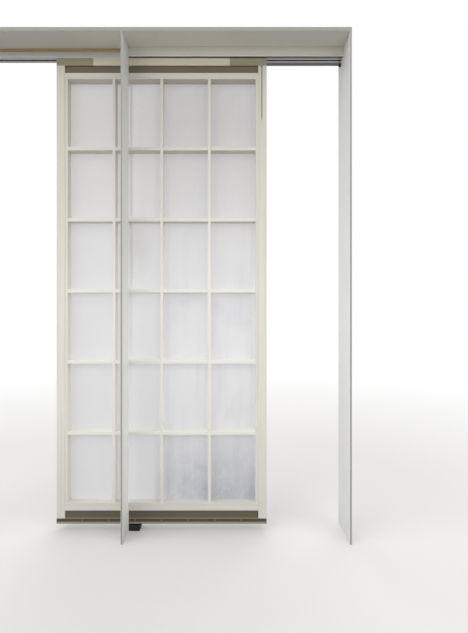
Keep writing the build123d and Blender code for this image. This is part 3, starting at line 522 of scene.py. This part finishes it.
def separate_solids(node):
    """Lowest and highest corner of each solid in a CAD node, in a fixed order."""
    welded = bmesh.new()
    welded.from_mesh(NODES[node].data)
    bmesh.ops.remove_doubles(welded, verts=welded.verts, dist=SAME_CORNER)
    left = {vert.index: vert for vert in welded.verts}
    boxes = []
    while left:
        queue = [left.pop(min(left))]
        corners = []
        while queue:
            vert = queue.pop()
            corners.append(vert.co.copy())
            for edge in vert.link_edges:
                other = edge.other_vert(vert)
                if other.index in left:
                    queue.append(left.pop(other.index))
        boxes.append(tuple(Vector(map(pick, zip(*corners))) for pick in (min, max)))
    welded.free()
    return sorted(boxes, key=lambda box: [round(part, 5) for part in box[0]])


def end_points(boxes, axis, at_top):
    """Middle of the face that ends each box along an axis, on its higher or its lower side."""
    points = []
    for low, high in boxes:
        point = [(low[k] + high[k]) / 2 for k in range(3)]
        point[axis] = high[axis] if at_top else low[axis]
        points.append(point)
    return points


def new_maker(name, lengths):
    """A Geometry Nodes tree with named inputs; gives the tree and its inputs."""
    tree = bpy.data.node_groups.new(name, "GeometryNodeTree")
    tree.interface.new_socket("Geometry", in_out="OUTPUT", socket_type="NodeSocketGeometry")
    kinds = [("Geometry", "NodeSocketGeometry"), ("Turn", "NodeSocketRotation"),
             ("Material", "NodeSocketMaterial")]
    for label, kind in kinds + [(label, "NodeSocketFloat") for label in lengths]:
        tree.interface.new_socket(label, in_out="INPUT", socket_type=kind)
    return tree, put(tree, "NodeGroupInput").outputs


def set_on_points(tree, given, shape):
    """Ends a tree: the shape on every point, realized and painted."""
    copies = put(tree, "GeometryNodeInstanceOnPoints", {
        "Points": given["Geometry"], "Instance": shape, "Rotation": given["Turn"],
    })
    real = put(tree, "GeometryNodeRealizeInstances", {"Geometry": copies.outputs["Instances"]})
    painted = put(tree, "GeometryNodeSetMaterial", {
        "Geometry": real.outputs["Geometry"], "Material": given["Material"],
    })
    put(tree, "NodeGroupOutput", {"Geometry": painted.outputs["Geometry"]})


def lifted(tree, mesh, height):
    """A mesh moved along Z."""
    lift = put(tree, "ShaderNodeCombineXYZ", {"Z": height}).outputs[0]
    inputs = {"Geometry": mesh, "Translation": lift}
    return put(tree, "GeometryNodeTransform", inputs).outputs["Geometry"]


def merged(tree, operation, first, second):
    """The union, intersection or difference of two meshes."""
    node = put(tree, "GeometryNodeMeshBoolean", operation=operation, solver="EXACT")
    fill(node.inputs["Mesh 1" if operation == "DIFFERENCE" else "Mesh 2"], first)
    fill(node.inputs["Mesh 2"], second)
    return node.outputs["Mesh"]


def taper(tree, sides, top, bottom, depth):
    """A frustum that stands on the origin."""
    inputs = {"Vertices": sides, "Radius Top": top, "Radius Bottom": bottom, "Depth": depth}
    return put(tree, "GeometryNodeMeshCone", inputs).outputs["Mesh"]


def threaded_rod(tree, given, length, sides):
    """A rod that hangs from the origin, its skin cut by a helical thread, its tip narrowed."""
    rows = sums(tree, "MULTIPLY", sums(tree, "DIVIDE", length, given["Pitch"]), THREAD_ROWS)
    rod = put(tree, "GeometryNodeMeshCylinder", {
        "Vertices": sides, "Side Segments": rows, "Radius": given["Shank Radius"], "Depth": length,
    })
    hung = lifted(tree, rod.outputs["Mesh"], sums(tree, "MULTIPLY", length, -0.5))
    here = put(tree, "GeometryNodeInputPosition").outputs["Position"]
    x, y, z = put(tree, "ShaderNodeSeparateXYZ", {"Vector": here}).outputs
    turn = sums(tree, "DIVIDE", sums(tree, "ARCTAN2", y, x), 2 * math.pi)
    phase = sums(tree, "ADD", sums(tree, "DIVIDE", z, given["Pitch"]), turn)
    wave = sums(tree, "MULTIPLY", sums(tree, "PINGPONG", phase, 0.5), 2.0)
    cut = sums(tree, "MULTIPLY", wave, given["Thread Depth"])
    above_tip = sums(tree, "DIVIDE", sums(tree, "ADD", z, length), given["Tip Length"])
    loss = sums(tree, "MULTIPLY", ranged(tree, above_tip, 1.0, 0.0), given["Tip Loss"])
    inwards = sums(tree, "MULTIPLY", sums(tree, "MAXIMUM", cut, loss), -1.0)
    outwards = put(tree, "ShaderNodeCombineXYZ", {"X": x, "Y": y}).outputs[0]
    outwards = put(tree, "ShaderNodeVectorMath", {0: outwards}, operation="NORMALIZE").outputs[0]
    shift = put(tree, "ShaderNodeVectorMath", {0: outwards, "Scale": inwards}, operation="SCALE")
    inputs = {"Geometry": hung, "Offset": shift.outputs[0]}
    return put(tree, "GeometryNodeSetPosition", inputs).outputs["Geometry"]


THREAD_INPUTS = ("Shank Radius", "Reach", "Pitch", "Thread Depth", "Tip Length", "Tip Loss")


def screw_maker():
    """A wood screw: threaded shank, tapered or pan head and a cross recess."""
    tree, given = new_maker("screw_maker", THREAD_INPUTS + (
        "Foot Radius", "Crown Radius", "Crown Level", "Head Height", "Recess Width", "Recess Depth"))
    foot = sums(tree, "SUBTRACT", given["Crown Level"], given["Head Height"])
    crown = given["Crown Radius"]
    cone = taper(tree, SCREW_HEAD_SIDES, crown, given["Foot Radius"], given["Head Height"])
    start = sums(tree, "ADD", foot, sums(tree, "MULTIPLY", given["Head Height"], SCREW_ROOT))
    rod = threaded_rod(tree, given, sums(tree, "ADD", given["Reach"], start), SCREW_SHANK_SIDES)
    screw = merged(tree, "UNION", lifted(tree, cone, foot), lifted(tree, rod, start))
    arm = given["Recess Width"]
    tall = sums(tree, "MULTIPLY", given["Recess Depth"], 2.0)
    for wide, deep in ((crown, arm), (arm, crown)):
        size = put(tree, "ShaderNodeCombineXYZ", {"X": wide, "Y": deep, "Z": tall}).outputs[0]
        bar = put(tree, "GeometryNodeMeshCube", {"Size": size}).outputs["Mesh"]
        screw = merged(tree, "DIFFERENCE", screw, lifted(tree, bar, given["Crown Level"]))
    set_on_points(tree, given, screw)
    return tree


def pin_maker():
    """A pin whose head is a chamfered disc."""
    inputs = ("Head Radius", "Head Height", "Chamfer", "Shank Radius", "Reach")
    tree, given = new_maker("pin_maker", inputs)
    crown = sums(tree, "SUBTRACT", given["Head Radius"], given["Chamfer"])
    disc = taper(tree, PIN_HEAD_SIDES, crown, given["Head Radius"], given["Head Height"])
    head = lifted(tree, disc, sums(tree, "MULTIPLY", given["Head Height"], -1.0))
    half_head = sums(tree, "MULTIPLY", given["Head Height"], 0.5)
    length = sums(tree, "SUBTRACT", given["Reach"], half_head)
    tip = sums(tree, "MULTIPLY", given["Shank Radius"], PIN_TIP)
    bar = taper(tree, PIN_SHANK_SIDES, given["Shank Radius"], tip, length)
    shank = lifted(tree, bar, sums(tree, "MULTIPLY", given["Reach"], -1.0))
    set_on_points(tree, given, merged(tree, "UNION", head, shank))
    return tree


def hexagon(tree, given, turned_ends):
    """A hexagonal prism that stands on the origin, with the corners of its ends turned off."""
    flats, height = given["Across Flats"], given["Height"]
    corner = sums(tree, "DIVIDE", flats, math.sqrt(3.0))
    body = taper(tree, 6, corner, corner, height)
    face = sums(tree, "SUBTRACT", sums(tree, "MULTIPLY", flats, 0.5), given["Face Inset"])
    wide = sums(tree, "ADD", face, sums(tree, "MULTIPLY", height, math.sqrt(3.0)))
    for end in turned_ends:
        top, bottom = (face, wide) if end == "top" else (wide, face)
        body = merged(tree, "INTERSECT", body, taper(tree, TURNED_SIDES, top, bottom, height))
    return body


def bolt_maker():
    """A hexagon bolt that stands on the origin, with its threaded shank under it."""
    tree, given = new_maker("bolt_maker", THREAD_INPUTS + ("Across Flats", "Height", "Face Inset"))
    start = sums(tree, "MULTIPLY", given["Height"], BOLT_ROOT)
    rod = threaded_rod(tree, given, sums(tree, "ADD", given["Reach"], start), BOLT_SHANK_SIDES)
    head = hexagon(tree, given, ("top",))
    set_on_points(tree, given, merged(tree, "UNION", head, lifted(tree, rod, start)))
    return tree


def nut_maker():
    """A hexagon nut that stands on the origin."""
    tree, given = new_maker("nut_maker", ("Across Flats", "Height", "Face Inset", "Bore Radius"))
    through = sums(tree, "MULTIPLY", given["Height"], 4.0)
    bore = put(tree, "GeometryNodeMeshCylinder", {
        "Vertices": BORE_SIDES, "Radius": given["Bore Radius"], "Depth": through,
    }).outputs["Mesh"]
    body = merged(tree, "DIFFERENCE", hexagon(tree, given, ("top", "bottom")), bore)
    set_on_points(tree, given, body)
    return tree


def scattered(name, tree, points, values, body, stands_for=None):
    """Runs a tree on points and keeps the result as a plain mesh that rides on a body."""
    cloud = bpy.data.meshes.new(name + "_points")
    cloud.from_pydata(points, [], [])
    holder = bpy.data.objects.new(name + "_holder", cloud)
    bpy.context.scene.collection.objects.link(holder)
    modifier = holder.modifiers.new("maker", "NODES")
    modifier.node_group = tree
    for item in tree.interface.items_tree:
        if item.in_out == "INPUT" and item.name in values:
            modifier[item.identifier] = values[item.name]
    shown = holder.evaluated_get(bpy.context.evaluated_depsgraph_get())
    mesh = bpy.data.meshes.new_from_object(shown)
    holder.modifiers.remove(modifier)
    bpy.data.objects.remove(holder)
    if not mesh.polygons:
        raise RuntimeError(f"{name} came out empty")
    piece = bpy.data.objects.new(name, mesh)
    bpy.context.scene.collection.objects.link(piece)
    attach(piece, body)
    if stands_for:
        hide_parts(stands_for)
    return piece


def steel_finish():
    """The zinc plated steel, made once."""
    tone = bpy.context.scene.shoji_colours.steel
    made = bpy.data.materials.get("zinc_steel")
    return made or drawn_metal("zinc_steel", tone, ALONG_Z, roughness=0.32)


class SHOJI_OT_finish_plates(bpy.types.Operator):
    """Lacquer the plates of the portal and the boards that hide the track"""

    bl_idname = "shoji.finish_plates"
    bl_label = "Portal Plates"

    def execute(self, context):
        tones = context.scene.shoji_colours
        plates = lacquer("plate_lacquer", tones.paint, tones.plate_edge, tones.underside)
        dress(plates, nodes_of_slot("white_paint"))
        # Painted shade: both boards by the track take darker lacquers that stand in for shade
        for node, tone in (("front_pelmet", tones.front_pelmet_shade), ("rear_pelmet", tones.rear_pelmet)):
            dress(lacquer(node + "_lacquer", tone, tone, tone), [node])
        return {"FINISHED"}


class SHOJI_OT_finish_track(bpy.types.Operator):
    """Finish the track, its batten, stops, buffer and floor guide"""

    bl_idname = "shoji.finish_track"
    bl_label = "Track and Guide"

    def execute(self, context):
        tones = context.scene.shoji_colours
        for name, tone, roughness, nodes in (
            ("anodised_track", tones.aluminium, 0.42, nodes_of_slot("aluminium")),
            # Painted highlight: the lips take the lighter aluminium
            ("lit_lips", tones.lips, 0.42, ["track_front_lip", "track_rear_lip"]),
            # Painted shade inside the track, on its web
            ("track_inside", tones.inner_track_shade, 0.6, ["track_web"]),
        ):
            dress(drawn_metal(name, tone, ALONG_X, roughness), nodes)
        for slot, tone, roughness in (
            ("black_plastic", tones.black_plastic, 0.45),
            ("black_rubber", tones.rubber, 0.62),
        ):
            dress(moulded(slot, tone, roughness), nodes_of_slot(slot))
        sawn = {"contrast": 1.3, "roughness": 0.7}
        batten = nodes_of_slot("packer_timber")
        dress_wood("packer_timber", batten, tones.packer, tones.packer_grain, **sawn)
        return {"FINISHED"}


class SHOJI_OT_finish_wood(bpy.types.Operator):
    """Finish the stiles, rails, lattice, beads and strips"""

    bl_idname = "shoji.finish_wood"
    bl_label = "Leaf Wood"

    def execute(self, context):
        tones = context.scene.shoji_colours
        wear_strips = [node for node in nodes_of_slot("strip_wood") if node != "cap_strip"]
        dark_rails = [node for node in nodes_of_slot("dark_wood") if node != "base_rail"]
        lattice = [node for node in nodes_of_slot("pale_wood") if "muntin" in node]
        frame_wood = [node for node in nodes_of_slot("pale_wood") if node not in lattice]
        rows = (
            ("pale_wood", frame_wood, tones.pale_wood, tones.pale_grain, {"painted_shade_amount": FRAME_PAINTED_SHADE}),
            ("lattice_lit_wood", lattice, tones.lattice_lit_wood, tones.lattice_lit_grain, {"painted_shade_amount": LATTICE_PAINTED_SHADE}),
            ("cap_wood", ["cap_strip"], tones.cap_wood, tones.cap_grain, {}),
            ("wear_wood", wear_strips, tones.wear_wood, tones.wear_grain, {}),
            ("olive_wood", nodes_of_slot("olive_wood"), tones.olive_wood, tones.olive_grain, {}),
            ("dark_wood", dark_rails, tones.dark_wood, tones.dark_grain, {"dust_and_top_light": tones.dust_and_top_light}),
            ("base_wood", ["base_rail"], tones.base_wood, tones.base_grain, {"dust_and_top_light": tones.dust_and_top_light}),
        )
        for name, nodes, plain, grain, extras in rows:
            dress_wood(name, nodes, plain, grain, contrast=LEAF_CONTRAST, **extras)
        return {"FINISHED"}


class SHOJI_OT_finish_sheet(bpy.types.Operator):
    """Finish the translucent sheet behind the lattice"""

    bl_idname = "shoji.finish_sheet"
    bl_label = "Translucent Sheet"

    def execute(self, context):
        tones = context.scene.shoji_colours
        # Painted light falls on the sheet left of this muntin
        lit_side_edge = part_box("vertical_muntin_2")[1].x
        shades = (tones.sheet, tones.sheet_cloud_and_foot_shade, tones.sheet_top_shade)
        dress(frosted_sheet("milky_sheet", *shades, lit_side_edge), nodes_of_slot("translucent_sheet"))
        return {"FINISHED"}


class SHOJI_OT_finish_trolleys(bpy.types.Operator):
    """Finish the trolley blocks, wheels, axles and hanger plates"""

    bl_idname = "shoji.finish_trolleys"
    bl_label = "Trolleys"

    def execute(self, context):
        tones = context.scene.shoji_colours
        alloy = drawn_metal("trolley_alloy", tones.alloy, ALONG_X, roughness=0.34)
        dress(alloy, nodes_of_slot("trolley_alloy"))
        ground = drawn_metal("ground_axle", tones.ground_steel, ALONG_Y, roughness=0.22)
        dress(ground, nodes_of_slot("axle_steel"))
        dress(moulded("natural_nylon", tones.nylon, roughness=0.42), nodes_of_slot("nylon"))
        dress(steel_finish(), nodes_of_slot("steel"))
        return {"FINISHED"}


class SHOJI_OT_make_screws(bpy.types.Operator):
    """Set threaded, cross-recessed screws where the frame has plain ones"""

    bl_idname = "shoji.make_screws"
    bl_label = "Wood Screws"

    def execute(self, context):
        sizes = context.scene.shoji_fixings
        tree = screw_maker()
        down, up = (2, True, (0.0, 0.0, 0.0)), (2, False, (math.pi, 0.0, 0.0))
        right = (0, False, (0.0, -math.pi / 2, 0.0))
        rows = (
            ("header_screws", down, False),
            ("track_screws", up, True),
            ("hanger_plate_screws", down, False),
            ("base_rail_screws", up, False),
            ("buffer_screw", right, True),
        )
        for node, (axis, at_top, turn), panned in rows:
            solids = separate_solids(node)
            low, high = solids[0]
            size = high - low
            head = min(size.y, size.z if axis == 0 else size.x) / 2
            shank = head / 2
            height = sizes.pan_height if panned else head - shank
            scattered(node + "_detailed", tree, end_points(solids, axis, at_top), {
                "Turn": turn, "Material": steel_finish(),
                "Shank Radius": shank, "Reach": size[axis], "Pitch": sizes.screw_pitch,
                "Thread Depth": sizes.screw_thread,
                "Tip Length": TIP_LENGTH * shank, "Tip Loss": TIP_LOSS * shank,
                "Foot Radius": head if panned else shank, "Crown Level": 0.0,
                "Crown Radius": head - height / 2 if panned else head, "Head Height": height,
                "Recess Width": sizes.recess_width, "Recess Depth": sizes.recess_depth,
            }, BODY_OF_NODE[node], node)
        return {"FINISHED"}


class SHOJI_OT_make_strip_screws(bpy.types.Operator):
    """Set the row of small round-headed screws along the front of the base rail"""

    bl_idname = "shoji.make_strip_screws"
    bl_label = "Strip Screws"

    def execute(self, context):
        sizes = context.scene.shoji_fixings
        low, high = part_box("base_rail")
        middle = (low.x + high.x) / 2
        steps = int((high.x - low.x) / 2 / sizes.strip_spacing)
        level = (low.z + high.z) / 2
        spots = [(middle + k * sizes.strip_spacing, low.y, level) for k in range(-steps, steps + 1)]
        head = sizes.strip_head / 2
        tone = context.scene.shoji_colours.browned
        finish = drawn_metal("browned_steel", tone, ALONG_Z, roughness=0.45)
        scattered("base_rail_front_screws", screw_maker(), spots, {
            "Turn": (math.pi / 2, 0.0, 0.0), "Material": finish,
            "Shank Radius": head / 2, "Reach": sizes.strip_reach, "Pitch": sizes.screw_pitch,
            "Thread Depth": sizes.screw_thread, "Tip Length": head, "Tip Loss": ROUND_TIP_LOSS * head,
            "Foot Radius": head, "Crown Level": sizes.strip_stand, "Crown Radius": ROUND_CROWN * head,
            "Head Height": sizes.strip_stand, "Recess Width": sizes.recess_width / 2,
            "Recess Depth": sizes.strip_stand / 2,
        }, BODY_OF_NODE["base_rail"])
        return {"FINISHED"}


class SHOJI_OT_make_bead_pins(bpy.types.Operator):
    """Set pins with chamfered heads into the beads"""

    bl_idname = "shoji.make_bead_pins"
    bl_label = "Bead Pins"

    def execute(self, context):
        solids = separate_solids("bead_pins")
        low, high = solids[0]
        head = (high.x - low.x) / 2
        scattered("bead_pins_detailed", pin_maker(), end_points(solids, 1, at_top=True), {
            "Turn": (-math.pi / 2, 0.0, 0.0), "Material": steel_finish(),
            "Head Radius": head, "Head Height": PIN_HEAD * head,
            "Chamfer": context.scene.shoji_fixings.pin_chamfer,
            "Shank Radius": head / 2, "Reach": high.y - low.y,
        }, BODY_OF_NODE["bead_pins"], "bead_pins")
        return {"FINISHED"}


class SHOJI_OT_make_bolts(bpy.types.Operator):
    """Set threaded hanger bolts and their chamfered nuts"""

    bl_idname = "shoji.make_bolts"
    bl_label = "Bolts and Nuts"

    def execute(self, context):
        sizes = context.scene.shoji_fixings
        trolley_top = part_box("left_trolley")[1].z
        bolts, nuts = separate_solids("hanger_bolts"), separate_solids("lock_nuts")
        low, high = bolts[0]
        flats = high.y - low.y
        shank = flats * BOLT_SHANK
        heads = [(x, y, trolley_top) for x, y, z in end_points(bolts, 2, at_top=True)]
        scattered("hanger_bolts_detailed", bolt_maker(), heads, {
            "Turn": (0.0, 0.0, 0.0), "Material": steel_finish(),
            "Shank Radius": shank, "Reach": trolley_top - low.z, "Pitch": sizes.bolt_pitch,
            "Thread Depth": sizes.bolt_thread, "Tip Length": sizes.bolt_pitch,
            "Tip Loss": 2 * sizes.bolt_thread, "Across Flats": flats,
            "Height": high.z - trolley_top, "Face Inset": sizes.face_inset,
        }, BODY_OF_NODE["hanger_bolts"], "hanger_bolts")
        low, high = nuts[0]
        scattered("lock_nuts_detailed", nut_maker(), end_points(nuts, 2, at_top=False), {
            "Turn": (0.0, 0.0, 0.0), "Material": steel_finish(), "Across Flats": flats,
            "Height": high.z - low.z, "Face Inset": sizes.face_inset,
            "Bore Radius": shank + sizes.nut_play,
        }, BODY_OF_NODE["lock_nuts"], "lock_nuts")
        return {"FINISHED"}


def white_world(strength):
    """A world that is plain light for surfaces and plain white for the camera and for gloss."""
    world = bpy.data.worlds.new("plain_light")
    world.use_nodes = True
    tree = world.node_tree
    tree.nodes.clear()
    path = put(tree, "ShaderNodeLightPath").outputs
    seen = sums(tree, "MAXIMUM", path["Is Camera Ray"], path["Is Glossy Ray"])
    seen = sums(tree, "MAXIMUM", seen, path["Is Transmission Ray"])
    light = put(tree, "ShaderNodeBackground", {"Strength": strength, "Color": WHITE})
    white = put(tree, "ShaderNodeBackground", {"Strength": 1.0, "Color": WHITE})
    both = put(tree, "ShaderNodeMixShader", {0: seen, 1: light.outputs[0], 2: white.outputs[0]})
    put(tree, "ShaderNodeOutputWorld", {"Surface": both.outputs[0]})
    return world


def floor_finish(tones, fade_start, fade_end):
    """A pale floor that keeps its shadows near the object and turns white far away."""
    material, tree, shader = fresh_material("plain_floor")
    fill(shader.inputs["Roughness"], 0.8)
    fill(shader.inputs["Specular IOR Level"], 0.1)
    camera = put(tree, "ShaderNodeLightPath").outputs["Is Camera Ray"]
    fill(shader.inputs["Base Color"], blended(tree, camera, tones.floor_bounce, tones.floor))
    x, y = coordinate(tree, "Object", "X"), coordinate(tree, "Object", "Y")
    squares = sums(tree, "ADD", sums(tree, "MULTIPLY", x, x), sums(tree, "MULTIPLY", y, y))
    away = ranged(tree, sums(tree, "SQRT", squares), fade_start, fade_end)
    glow = put(tree, "ShaderNodeEmission", {"Color": WHITE, "Strength": 1.0})
    faded = sums(tree, "MULTIPLY", away, camera)
    both = put(tree, "ShaderNodeMixShader", {0: faded, 1: shader.outputs[0], 2: glow.outputs[0]})
    output = next(node for node in tree.nodes if node.type == "OUTPUT_MATERIAL")
    fill(output.inputs["Surface"], both.outputs[0])
    return material


def add_sun(name, side, strength, spread):
    """A wide soft sun that shines from one side towards the origin."""
    lamp = bpy.data.lights.new(name, "SUN")
    lamp.energy = strength
    lamp.angle = spread
    holder = bpy.data.objects.new(name, lamp)
    holder.rotation_euler = Vector(side).to_track_quat("Z", "Y").to_euler()
    bpy.context.scene.collection.objects.link(holder)


class SHOJI_OT_set_stage(bpy.types.Operator):
    """Set the camera, the plain light and the pale floor"""

    bl_idname = "shoji.set_stage"
    bl_label = "Stage"

    def execute(self, context):
        scene = context.scene
        stage = scene.shoji_stage
        view = bpy.data.cameras.new("photo_view")
        view.sensor_width = FULL_FRAME
        view.lens = view.sensor_width * stage.focal_pixels / stage.long_side
        view.shift_x = stage.offset / stage.long_side
        view.clip_end = 4 * stage.floor_radius
        camera = bpy.data.objects.new("photo_view", view)
        camera.location = stage.eye
        camera.rotation_euler = (math.pi / 2, 0.0, 0.0)
        scene.collection.objects.link(camera)
        scene.camera = camera
        disc = bmesh.new()
        bmesh.ops.create_circle(disc, cap_ends=True, segments=FLOOR_SIDES, radius=stage.floor_radius)
        mesh = bpy.data.meshes.new("stage_floor")
        disc.to_mesh(mesh)
        disc.free()
        mesh.materials.append(floor_finish(scene.shoji_colours, stage.fade_start, stage.fade_end))
        floor = bpy.data.objects.new("stage_floor", mesh)
        scene.collection.objects.link(floor)
        scene.world = white_world(stage.world_light)
        add_sun("left_sun", stage.left_side, stage.left_strength, stage.lamp_spread)
        add_sun("right_sun", stage.right_side, stage.right_strength, stage.lamp_spread)
        add_sun("back_sun", stage.back_side, stage.back_strength, stage.lamp_spread)
        scene.view_settings.view_transform = "Standard"
        return {"FINISHED"}


OPERATORS = (
    SHOJI_OT_finish_plates,
    SHOJI_OT_finish_track,
    SHOJI_OT_finish_wood,
    SHOJI_OT_finish_sheet,
    SHOJI_OT_finish_trolleys,
    SHOJI_OT_make_screws,
    SHOJI_OT_make_strip_screws,
    SHOJI_OT_make_bead_pins,
    SHOJI_OT_make_bolts,
    SHOJI_OT_set_stage,
)


class SHOJI_PT_dressing(bpy.types.Panel):
    """Lists the steps that dress the leaf and its portal"""

    bl_idname = "SHOJI_PT_dressing"
    bl_label = "Shoji Portal"
    bl_space_type = "VIEW_3D"
    bl_region_type = "UI"
    bl_category = "Shoji"

    def draw(self, context):
        for operator in OPERATORS:
            self.layout.operator(operator.bl_idname)


GROUPS = {"shoji_colours": ShojiColours, "shoji_fixings": ShojiFixings, "shoji_stage": ShojiStage}
CLASSES = (*GROUPS.values(), *OPERATORS, SHOJI_PT_dressing)


def register():
    """Registers every class and hangs the property groups on the scene."""
    for cls in CLASSES:
        bpy.utils.register_class(cls)
    for name, group in GROUPS.items():
        setattr(bpy.types.Scene, name, bpy.props.PointerProperty(type=group))


def unregister():
    """Takes the property groups and the classes away again."""
    for name in GROUPS:
        delattr(bpy.types.Scene, name)
    for cls in reversed(CLASSES):
        bpy.utils.unregister_class(cls)


def main():
    """Registers the add-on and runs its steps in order."""
    register()
    for operator in OPERATORS:
        name = operator.bl_idname.split(".")[1]
        getattr(bpy.ops.shoji, name)()


if __name__ == "__main__":
    main()
